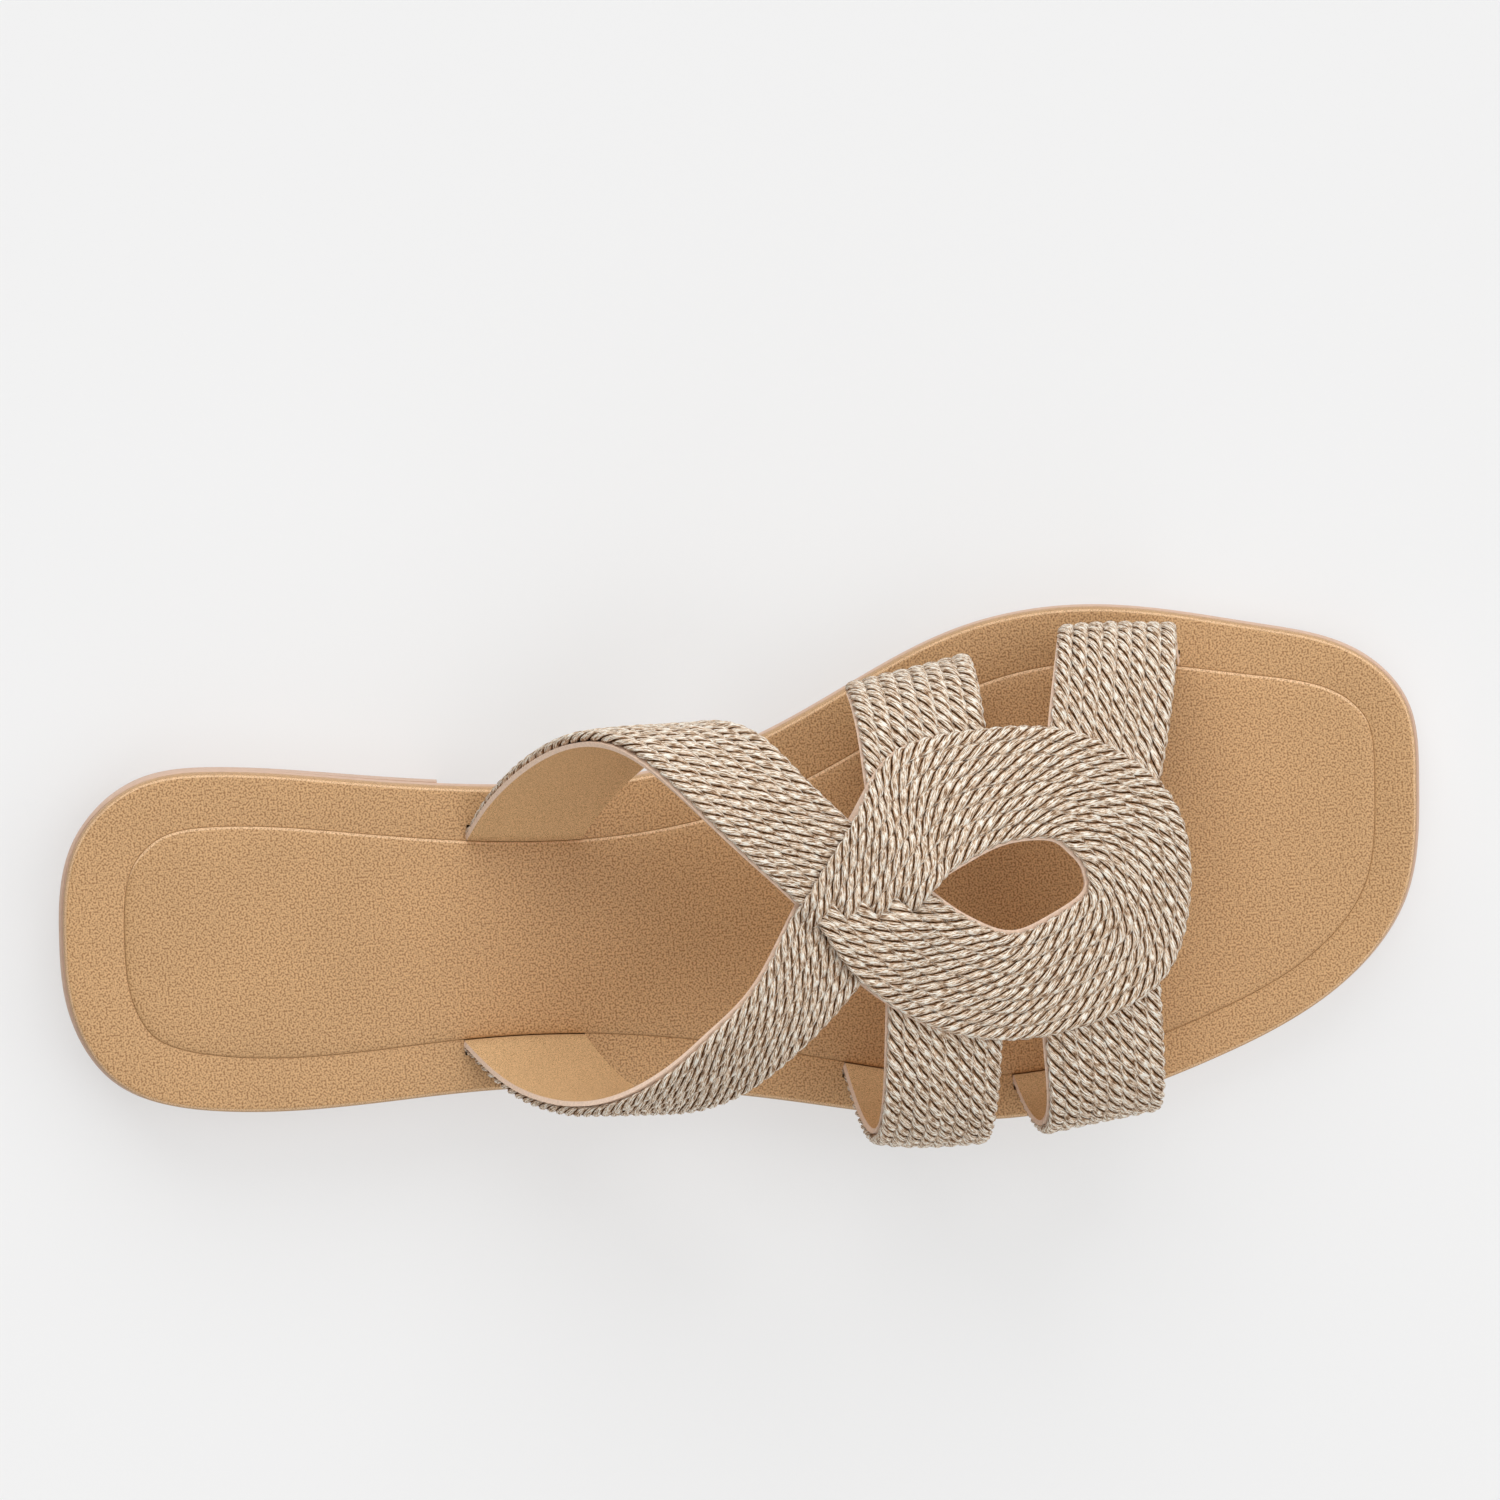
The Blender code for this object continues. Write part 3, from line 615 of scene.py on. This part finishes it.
def paint_highlight(mesh, points, lean=-1.0):
    """Gives the second material, a paler leather for a painted highlight, to the faces between two points of
    a profile.

    Only faces that lean far enough to the big-toe side, where the strongest light comes from, take it.
    """
    first, final = (PROFILE_STEPS * OUTLINE_POINTS * point for point in points)
    for face in mesh.polygons[first:final]:
        face.material_index = int(face.normal.y > lean)


def outsole_mesh():
    loop = outsole_loop()
    profile = smooth_profile(OUTSOLE_PROFILE)
    loops = [at_height(inset(loop, edge), underside, height) for edge, height in profile]
    return stacked_loops("outsole", loops)


def heel_mesh():
    """A low block under the rear of the outsole, cut off straight at its breast."""
    loop = outsole_loop()
    half = len(loop) // 2
    sides = []
    for line in (loop[: half + 1], np.concatenate([loop[:1], loop[:half - 1:-1]])):
        run = way_along(line)
        breast = np.interp(HEEL_LENGTH, line[:, 0], run)
        side = points_at(np.linspace(0.0, breast, half // 2), run, line)
        flare = smooth_step(side[:, 0] / HEEL_LENGTH - HEEL_FLARE_FROM)
        side[:, 1] += HEEL_FLARE * np.sign(side[-1, 1]) * flare
        sides.append(side)
    outline = np.concatenate([sides[0], sides[1][:0:-1]])
    loops = [np.column_stack([inset(outline, edge), np.full(len(outline), height)])
             for edge, height in smooth_profile(HEEL_PROFILE)]
    loops.append(at_height(outline, underside, -HEEL_GAP))
    return stacked_loops("heel", loops)


def slot_cutter(name, rear, front, side):
    """A curved box along the rim's line, for one strap's tail to go down into."""
    tail_line = slot_line(side, SLOT_CLEARANCE)
    steps = np.arange(len(tail_line))
    ends = np.interp([rear, front], tail_line[:, 0], steps)
    at = np.linspace(*ends, SLOT_STEPS)
    inner = SLOT_CLEARANCE - SLOT_INNER_GAP
    edges = [points_at(at, steps, slot_line(side, outward)) for outward in (inner, inner + SLOT_WIDTH)]
    outline = np.concatenate([edges[0], edges[1][::-1]])
    count = len(outline)
    faces = ring_walls(2, count) + flat_end(0, count) + flat_end(count, count)
    levels = [at_height(outline, footbed_top, level) for level in (-SLOT_DEPTH, FOOTBED_THICKNESS)]
    mesh = new_mesh(name, np.concatenate(levels), faces)
    face_out(mesh)
    return bpy.data.objects.new(name, mesh)


def slot_ends():
    """Each slot's rear and front end along the length, and its side of the shoe."""
    rows = [LOOP_STRAP["medial slot"], LOOP_STRAP["lateral slot"]]
    rows += [strap["slot"] for strap in SIDE_STRAPS.values()]
    return [(row[0] * LENGTH, row[2] * LENGTH, np.sign(row[1])) for row in rows]


def footbed_mesh():
    """The wrapped board: soft outer edge, flat rim, shallow recess for the insole, and the straps' slots."""
    outer = footbed_loop()
    profile = smooth_profile(FOOTBED_EDGE)
    loops = [at_height(inset(outer, edge), footbed_bottom, height) for edge, height in profile]
    for outward, below in RECESS_EDGE:
        loops.append(at_height(rim_loop(outward), footbed_top, -below))
    mesh = stacked_loops("footbed", loops)
    # Painted highlight along the footbed's rounded edge.
    paint_highlight(mesh, EDGE_PAINTED_HIGHLIGHT)
    blank = bpy.data.objects.new("blank", mesh)
    cutters = bpy.data.collections.new("cutters")
    for number, ends in enumerate(slot_ends()):
        cutters.objects.link(slot_cutter(f"cutter_{number}", *ends))
    bpy.context.scene.collection.children.link(cutters)
    bpy.context.scene.collection.objects.link(blank)
    cut = blank.modifiers.new("slots", "BOOLEAN")
    cut.operation = "DIFFERENCE"
    cut.solver = "EXACT"
    cut.operand_type = "COLLECTION"
    cut.collection = cutters
    mesh = bpy.data.meshes.new_from_object(blank.evaluated_get(bpy.context.evaluated_depsgraph_get()))
    for helper in [blank, *cutters.objects]:
        bpy.data.objects.remove(helper)
    bpy.data.collections.remove(cutters)
    mesh.name = "footbed_cover"
    mesh.shade_smooth()
    mesh.set_sharp_from_angle(angle=SHARP_ANGLE)
    return mesh


def insole_mesh():
    loop = rim_loop()
    profile = smooth_profile(INSOLE_PROFILE)
    loops = [at_height(inset(loop, edge), footbed_top, height) for edge, height in profile]
    mesh = stacked_loops("insole", loops)
    # Painted highlight on the insole's edge, on the big-toe side only.
    paint_highlight(mesh, INSOLE_PAINTED_HIGHLIGHT, HIGHLIGHT_LEAN)
    return mesh


def strap_run(rows):
    """How far along the strap each of its rows lies, roughly in millimetres."""
    table = np.array(list(rows.values()))
    middle = (table[:, 0:2] + table[:, 2:4]) / 2 * (LENGTH, HALF_GIRTH)
    return way_along(middle)


def strap_grid(rows, last, across):
    """Points of a strap's inner face, along by across, the directions out of it, and each row's way along.

    An end at a slot, which is at 1 or -1 of the way down the last, goes on straight down as a tail.
    """
    table = np.array(list(rows.values()))
    run = strap_run(rows)
    at = np.linspace(0.0, run[-1], int(round(run[-1] / STRAP_STEP)) + 1)
    outer_x, outer_down, inner_x, inner_down, depth = (curve_through(run, column, at) for column in table.T)
    across = np.asarray(across)[None, :]
    x = (outer_x[:, None] * (1 - across) + inner_x[:, None] * across) * LENGTH
    down = outer_down[:, None] * (1 - across) + inner_down[:, None] * across
    points = last.point(x, down)
    before, after = (int(abs(table[end, 1]) == 1.0) for end in (0, -1))
    tail = SLOT_NECK + TAIL_DEPTH
    first_tail, last_tail = (points[[end]] - (0, 0, tail) for end in (0, -1))
    points = np.concatenate([first_tail[:before], points, last_tail[:after]])
    depth = np.pad(depth, (before, after), mode="edge")
    at = np.concatenate([[-tail][:before], at, [run[-1] + tail][:after]])
    out = unit(np.cross(np.gradient(points, axis=0), np.gradient(points, axis=1)))
    inside = points.mean(axis=(0, 1)) * (1, 0, 0) + (0, 0, HEEL_HEIGHT + OUTSOLE_THICKNESS)
    if np.sum(out * (points - inside)) < 0:
        out = -out
    return points - out * depth[:, None, None], out, at


def lining_mesh(name, rows, last, borders):
    """A strap's lining as a thin closed strip. All but its inner face takes the second material."""
    outer, inner = (border / (CORDS_PER_STRAP * CORD_PITCH) for border in borders)
    back, out, _ = strap_grid(rows, last, np.linspace(-outer, 1.0 + inner, LINING_STEPS))
    across = np.linspace(LINING_BEVEL - outer, 1.0 + inner - LINING_BEVEL, LINING_STEPS)
    face, _, _ = strap_grid(rows, last, across)
    rings = np.concatenate([face, (back + out * STRAP_LINING)[:, ::-1]], axis=1)
    length, size = rings.shape[:2]
    faces = ring_walls(length, size) + flat_end(0, size) + flat_end((length - 1) * size, size)
    edges = [i >= LINING_STEPS - 1 for i in range(size)] * (length - 1)
    edges += [True] * (len(faces) - len(edges))
    mesh = new_mesh(name, rings.reshape(-1, 3), faces)
    face_out(mesh)
    mesh.polygons.foreach_set("material_index", np.array(edges, np.int32))
    mesh.set_sharp_from_angle(angle=SHARP_ANGLE)
    return mesh


def crossing_lift(rows, at, cord):
    """Extra height of a cord along the long band: under at first, then over, from one pair to the next."""
    lift = np.zeros(len(at))
    if "crossing from medial" not in rows:
        return lift
    places = dict(zip(rows, strap_run(rows)))
    pair = cord // 2
    for side, other, switch in (("medial", "lateral", pair + 1), ("lateral", "medial", pair)):
        if switch == PAIRS:
            continue
        start, end = places[f"crossing from {side}"], places[f"crossing to {other}"]
        passed = (at - start) / (end - start)
        rise = smooth_step((passed + CROSSING_LEAD) / CROSSING_RAMP)
        fall = smooth_step((1.0 + CROSSING_LEAD - passed) / CROSSING_RAMP)
        over = smooth_step((passed - switch / PAIRS) / CROSSING_BLEND + 0.5)
        lift += CROSSING_LIFT[side] * rise * fall * over
    return lift


class CordLine:
    """A cord's middle line, the directions to its side and out, and its room, by the distance along it."""

    def __init__(self, face, out, room, lift):
        height = STRAP_LINING + CORD_FLATTENING * (PLY_OFFSET + PLY_RADIUS) - CORD_SINK
        points = face + out * (height + lift)[:, None]
        run = way_along(points)
        self.length = run[-1]
        self.at = np.linspace(0.0, self.length, int(self.length / (CORD_STEP / 2)))
        self.middle = np.column_stack([curve_through(run, column, self.at) for column in points.T])
        along = np.gradient(self.middle, axis=0)
        self.side = unit(np.cross(points_at(self.at, run, out), along))
        self.out = unit(np.cross(along, self.side))
        self.room = np.interp(self.at, run, room) / CORD_PITCH

    def place(self, points):
        """Points given along, to the side and out, laid on the line."""
        along = points[..., 0]
        room = np.interp(along, self.at, self.room)
        side = points_at(along, self.at, self.side) * (points[..., 1] * room)[..., None]
        out = points_at(along, self.at, self.out) * (points[..., 2] * CORD_FLATTENING)[..., None]
        return points_at(along, self.at, self.middle) + side + out


def cord_turn(line):
    """Even steps along a cord and its plies' turn at each: a steady twist that wanders a little."""
    at = np.linspace(0.0, line.length, int(line.length / CORD_STEP))
    start, *shifts = RANDOM.uniform(0, 2 * math.pi, 3)
    waves = [np.sin(at / length + shift) for length, shift in zip(WANDER_WAVES, shifts)]
    return at, start - 2 * math.pi * at / LEAD + LEAD_WANDER * sum(waves) / 2


def ply_rings(line, at, turn):
    """Rings of points round one ply of a cord."""
    rate = np.gradient(turn, at)
    zero = np.zeros_like(at)
    outward = np.column_stack([zero, np.cos(turn), np.sin(turn)])
    along = np.column_stack([zero + 1.0, -PLY_OFFSET * rate * np.sin(turn), PLY_OFFSET * rate * np.cos(turn)])
    beside = np.cross(unit(along), outward)
    middle = outward * PLY_OFFSET
    middle[:, 0] += at
    angle = np.linspace(0, 2 * math.pi, PLY_SIDES, endpoint=False)
    rings = middle[:, None] - PLY_RADIUS * np.cos(angle)[None, :, None] * outward[:, None]
    rings += PLY_RADIUS * np.sin(angle)[None, :, None] * beside[:, None]
    rings[..., 0] = np.clip(rings[..., 0], 0.0, line.length)
    return line.place(rings)


def ply_faces(start, count):
    """Faces of one ply of so many rings, closed at both ends. Its points are numbered from start."""
    side = np.arange(PLY_SIDES)
    after = (side + 1) % PLY_SIDES
    row = start + PLY_SIDES * np.arange(count - 1)[:, None]
    quads = np.stack([row + side, row + PLY_SIDES + side, row + PLY_SIDES + after, row + after], axis=-1)
    first = start + side
    final = first + PLY_SIDES * (count - 1)
    return [*quads.reshape(-1, 4).tolist(), first.tolist(), final[::-1].tolist()]


def ply_way(along):
    """The way round and along a ply at each corner of its faces."""
    side = np.arange(PLY_SIDES)
    around = np.stack([side, side, side + 1, side + 1], axis=-1) / PLY_SIDES
    ahead = np.stack([along[:-1], along[1:], along[1:], along[:-1]], axis=-1)
    walls = np.stack(np.broadcast_arrays(around[None], ahead[:, None]), axis=-1)
    ends = np.zeros((2 * PLY_SIDES, 2))
    return np.concatenate([walls.reshape(-1, 2), ends])


def cords_mesh(name, rows, last, cords):
    """The twisted cords of a strap as one mesh of closed plies, with the way round and along each as UV."""
    across = np.linspace(CORD_MARGIN, 1.0 - CORD_MARGIN, 2 * CORDS_PER_STRAP + 1)
    face, out, at = strap_grid(rows, last, across)
    points, faces, ways = [], [], []
    start = 0
    for cord in cords:
        column = 2 * cord + 1
        room = np.linalg.norm(face[:, column + 1] - face[:, column - 1], axis=1)
        line = CordLine(face[:, column], out[:, column], room, crossing_lift(rows, at, cord))
        along, turn = cord_turn(line)
        for ply in range(PLIES):
            rings = ply_rings(line, along, turn + ply * 2 * math.pi / PLIES)
            points.append(rings.reshape(-1, 3))
            faces += ply_faces(start, len(rings))
            ways.append(ply_way(along + RANDOM.uniform(0, FIBRE_SHIFT)))
            start += len(points[-1])
    mesh = new_mesh(name, np.concatenate(points), faces)
    layer = mesh.uv_layers.new(name="ply")
    layer.uv.foreach_set("vector", np.concatenate(ways).astype(np.float32).ravel())
    return mesh


def principled(name, roughness, metallic=0.0, shine=0.5):
    """A new material with its node tree and its Principled shader."""
    material = bpy.data.materials.new(name)
    material.use_nodes = True
    tree = material.node_tree
    shader = tree.nodes["Principled BSDF"]
    shader.inputs["Roughness"].default_value = roughness
    shader.inputs["Metallic"].default_value = metallic
    shader.inputs["Specular IOR Level"].default_value = shine
    return material, tree, shader


def add_node(tree, kind, inputs=None, **settings):
    """A node with its settings, and its inputs either linked to a socket or set to a value."""
    node = tree.nodes.new(kind)
    for key, value in settings.items():
        setattr(node, key, value)
    for key, value in (inputs or {}).items():
        if isinstance(value, bpy.types.NodeSocket):
            tree.links.new(value, node.inputs[key])
        else:
            node.inputs[key].default_value = value
    return node


def colour_ramp(tree, value, stops):
    """A ramp from a value to colours, each given with its place."""
    ramp = add_node(tree, "ShaderNodeValToRGB", {"Fac": value})
    points = ramp.color_ramp.elements
    while len(points) < len(stops):
        points.new(0.5)
    for point, (place, colour) in zip(points, stops):
        point.position = place
        point.color = (*colour, 1.0)
    return ramp.outputs["Color"]


def shade(colour, factor):
    """The colour made darker or lighter, by one factor or one for each channel."""
    return tuple(np.asarray(colour) * factor)


def tinted(tree, value, colour, tints):
    """The colour times a factor that goes with a value."""
    return colour_ramp(tree, value, [(place, shade(colour, factor)) for place, factor in tints])


def calculate(tree, operation, *values):
    """The result of a calculation on sockets or numbers."""
    inputs = dict(enumerate(values))
    return add_node(tree, "ShaderNodeMath", inputs, operation=operation).outputs["Value"]


def mix(tree, share, first, second, way="MIX"):
    """Two colours mixed, with a share of the second."""
    inputs = {"Fac": share, "Color1": first, "Color2": second}
    return add_node(tree, "ShaderNodeMixRGB", inputs, blend_type=way).outputs["Color"]


def noise(tree, place, scale, detail, strength=0.5, dimensions="3D"):
    """Smooth noise from 0 to 1, with levels of finer detail, each weaker than the last by a factor."""
    inputs = {"Vector": place, "Scale": scale, "Detail": detail, "Roughness": strength}
    return add_node(tree, "ShaderNodeTexNoise", inputs, noise_dimensions=dimensions).outputs["Fac"]


def add_relief(tree, shader, height, relief):
    """Makes the surface rise and fall with a height, by a relief's strength and depth."""
    strength, depth = relief
    bump = add_node(tree, "ShaderNodeBump", {"Height": height, "Strength": strength, "Distance": depth})
    tree.links.new(bump.outputs["Normal"], shader.inputs["Normal"])


def leather(name, colour, relief):
    """Leatherette: a fine even grain with warm creases, and faint broad mottling.

    Faces that lie flat take the grain from a flat pattern, which is more even, and others from a solid one.
    """
    material, tree, shader = principled(name, LEATHER_ROUGHNESS, shine=LEATHER_SHINE)
    coordinates = add_node(tree, "ShaderNodeTexCoord").outputs
    place = coordinates["Object"]
    upwards = add_node(tree, "ShaderNodeSeparateXYZ", {"Vector": coordinates["Normal"]}).outputs["Z"]
    flat = calculate(tree, "GREATER_THAN", calculate(tree, "ABSOLUTE", upwards), FLAT_FROM)
    flat_grain = noise(tree, place, *FLAT_GRAIN, dimensions="2D")
    grain = mix(tree, flat, noise(tree, place, *STEEP_GRAIN), flat_grain)
    tint = tinted(tree, grain, colour, GRAIN_TINTS)
    mottle = tinted(tree, noise(tree, place, *MOTTLE), WHITE, MOTTLE_TINTS)
    tree.links.new(mix(tree, 1.0, tint, mottle, "MULTIPLY"), shader.inputs["Base Color"])
    add_relief(tree, shader, grain, relief)
    return material


def rubber(name, colour):
    """Matte moulded rubber with a fine dull grain."""
    material, tree, shader = principled(name, RUBBER_ROUGHNESS)
    place = add_node(tree, "ShaderNodeTexCoord").outputs["Object"]
    grain = noise(tree, place, *RUBBER_GRAIN)
    tree.links.new(tinted(tree, grain, colour, RUBBER_TINTS), shader.inputs["Base Color"])
    add_relief(tree, shader, grain, RUBBER_RELIEF)
    return material


def raw_edge(name, colour):
    """Cut edge of the lining: pale, fibrous and dull."""
    material, tree, shader = principled(name, RAW_EDGE_ROUGHNESS)
    place = add_node(tree, "ShaderNodeTexCoord").outputs["Object"]
    grain = noise(tree, place, *RAW_EDGE_GRAIN)
    tree.links.new(tinted(tree, grain, colour, RAW_EDGE_TINTS), shader.inputs["Base Color"])
    return material


def metallic_cord(name):
    """Twisted yarn with metallic thread: dull and shiny fibres side by side, the brightest of them painted
    glints, and painted shade where two plies meet.
    """
    material, tree, shader = principled(name, CORD_ROUGHNESS, CORD_METAL, shine=0.0)
    way = add_node(tree, "ShaderNodeUVMap", uv_map="ply").outputs["UV"]
    parts = add_node(tree, "ShaderNodeSeparateXYZ", {"Vector": way}).outputs
    around, along = parts["X"], parts["Y"]
    slanted = calculate(tree, "MULTIPLY_ADD", along, FIBRE_SLANT, around)
    fibre = add_node(tree, "ShaderNodeCombineXYZ", {"X": slanted, "Y": along}).outputs["Vector"]
    scale = (FIBRES_ROUND, FIBRE_BREAKS, 1.0)
    streaks = add_node(tree, "ShaderNodeMapping", {"Vector": fibre, "Scale": scale}).outputs["Vector"]
    fibres = noise(tree, streaks, *FIBRE_NOISE)
    # Fibre streaks, the brightest of them painted glints.
    tint = colour_ramp(tree, fibres, CORD_STREAKS_AND_GLINTS)
    inwards = calculate(tree, "ABSOLUTE", calculate(tree, "SUBTRACT", around, OUTERMOST))
    # Painted shade towards the cracks where two plies meet.
    crack_shade = colour_ramp(tree, inwards, CRACK_PAINTED_SHADE)
    tree.links.new(mix(tree, 1.0, tint, crack_shade, "MULTIPLY"), shader.inputs["Base Color"])
    add_relief(tree, shader, fibres, FIBRE_RELIEF)
    return material


def make_sole():
    leatherette = leather("leatherette", TAN, FOOTBED_RELIEF)
    # Paler leather for the painted highlight on the edges.
    highlight_leather = leather("leatherette_painted_highlight", PAINTED_HIGHLIGHT_TAN, EDGE_RELIEF)
    sole = rubber("sole_rubber", SOLE_COLOUR)
    add_piece("outsole_rubber", outsole_mesh(), "outsole", "sole_rubber", sole)
    add_piece("heel_block", heel_mesh(), "heel", "sole_rubber", sole)
    add_piece("footbed_cover", footbed_mesh(), "footbed", "leatherette", leatherette, highlight_leather)
    insole = add_piece("insole_pad", insole_mesh(), "insole", "leatherette", leatherette, highlight_leather)


def make_upper():
    last = Last()
    lining = leather("strap_lining", LINING_TAN, LINING_RELIEF)
    edge = raw_edge("raw_edge", RAW_EDGE)
    cord = metallic_cord("metallic_cord")
    name = "loop_lining"
    add_piece(name, lining_mesh(name, LOOP_STRAP, last, LOOP_BORDERS), "upper", "leatherette", lining, edge)
    halves = {"outer": range(PAIRS), "inner": range(PAIRS, CORDS_PER_STRAP)}
    for half, cords in halves.items():
        name = f"loop_cords_{half}"
        add_piece(name, cords_mesh(name, LOOP_STRAP, last, cords), "upper", "metallic_cord", cord)
    for strap, rows in SIDE_STRAPS.items():
        base = strap.replace(" ", "_")
        name = f"{base}_lining"
        add_piece(name, lining_mesh(name, rows, last, SIDE_BORDERS), "upper", "leatherette", lining, edge)
        name = f"{base}_cords"
        cords = cords_mesh(name, rows, last, range(CORDS_PER_STRAP))
        add_piece(name, cords, "upper", "metallic_cord", cord)


def add_camera():
    """The photograph's camera, placed so that one known point of the shoe shows at its pixel."""
    back = unit((-math.tan(CAMERA_TIP_HEEL), math.tan(CAMERA_TIP_SIDE), 1.0))
    level = np.array((math.cos(CAMERA_TURN), -math.sin(CAMERA_TURN), 0.0))
    right = unit(level - back * level.dot(back))
    up = np.cross(back, right)
    across, down = ((pixel - IMAGE_SIZE / 2) / PIXELS_PER_MM for pixel in VIEW_PIXEL)
    place = np.array(VIEW_POINT) - right * across + up * down + back * CAMERA_DISTANCE
    data = bpy.data.cameras.new("camera")
    data.sensor_width = SENSOR
    data.lens = SENSOR * PIXELS_PER_MM * CAMERA_DISTANCE / IMAGE_SIZE
    camera = bpy.data.objects.new("camera", data)
    bpy.context.scene.collection.objects.link(camera)
    turn = Matrix(np.column_stack([right, up, back]).tolist()).to_4x4()
    camera.matrix_world = Matrix.Translation(Vector((place - ORIGIN) * MM)) @ turn
    bpy.context.scene.camera = camera


def add_floor():
    """A plain floor that gives off some light of its own."""
    half = FLOOR_SIZE / 2
    corners = [(-half, -half, 0), (half, -half, 0), (half, half, 0), (-half, half, 0)]
    mesh = bpy.data.meshes.new("floor")
    mesh.from_pydata(corners, [], [(0, 1, 2, 3)])
    floor = bpy.data.objects.new("floor", mesh)
    bpy.context.scene.collection.objects.link(floor)
    material, _, shader = principled("floor", FLOOR_ROUGHNESS, shine=0.0)
    shader.inputs["Base Color"].default_value = (*FLOOR_COLOUR, 1.0)
    shader.inputs["Emission Color"].default_value = (*WHITE, 1.0)
    shader.inputs["Emission Strength"].default_value = FLOOR_GLOW
    mesh.materials.append(material)


def add_light():
    """Wide soft lights round the shoe, as in a light tent, and a faint surround."""
    for name, (direction, strength) in LIGHTS.items():
        data = bpy.data.lights.new(name, "SUN")
        data.energy = strength
        data.angle = LIGHT_WIDTH
        light = bpy.data.objects.new(name, data)
        light.rotation_euler = Vector(direction).to_track_quat("Z", "Y").to_euler()
        bpy.context.scene.collection.objects.link(light)
    world = bpy.data.worlds.new("surround")
    world.use_nodes = True
    background = world.node_tree.nodes["Background"]
    background.inputs["Color"].default_value = (*WHITE, 1.0)
    background.inputs["Strength"].default_value = SURROUND_STRENGTH
    bpy.context.scene.world = world
    bpy.context.scene.view_settings.view_transform = "Standard"


make_sole()
make_upper()
add_floor()
add_light()
add_camera()
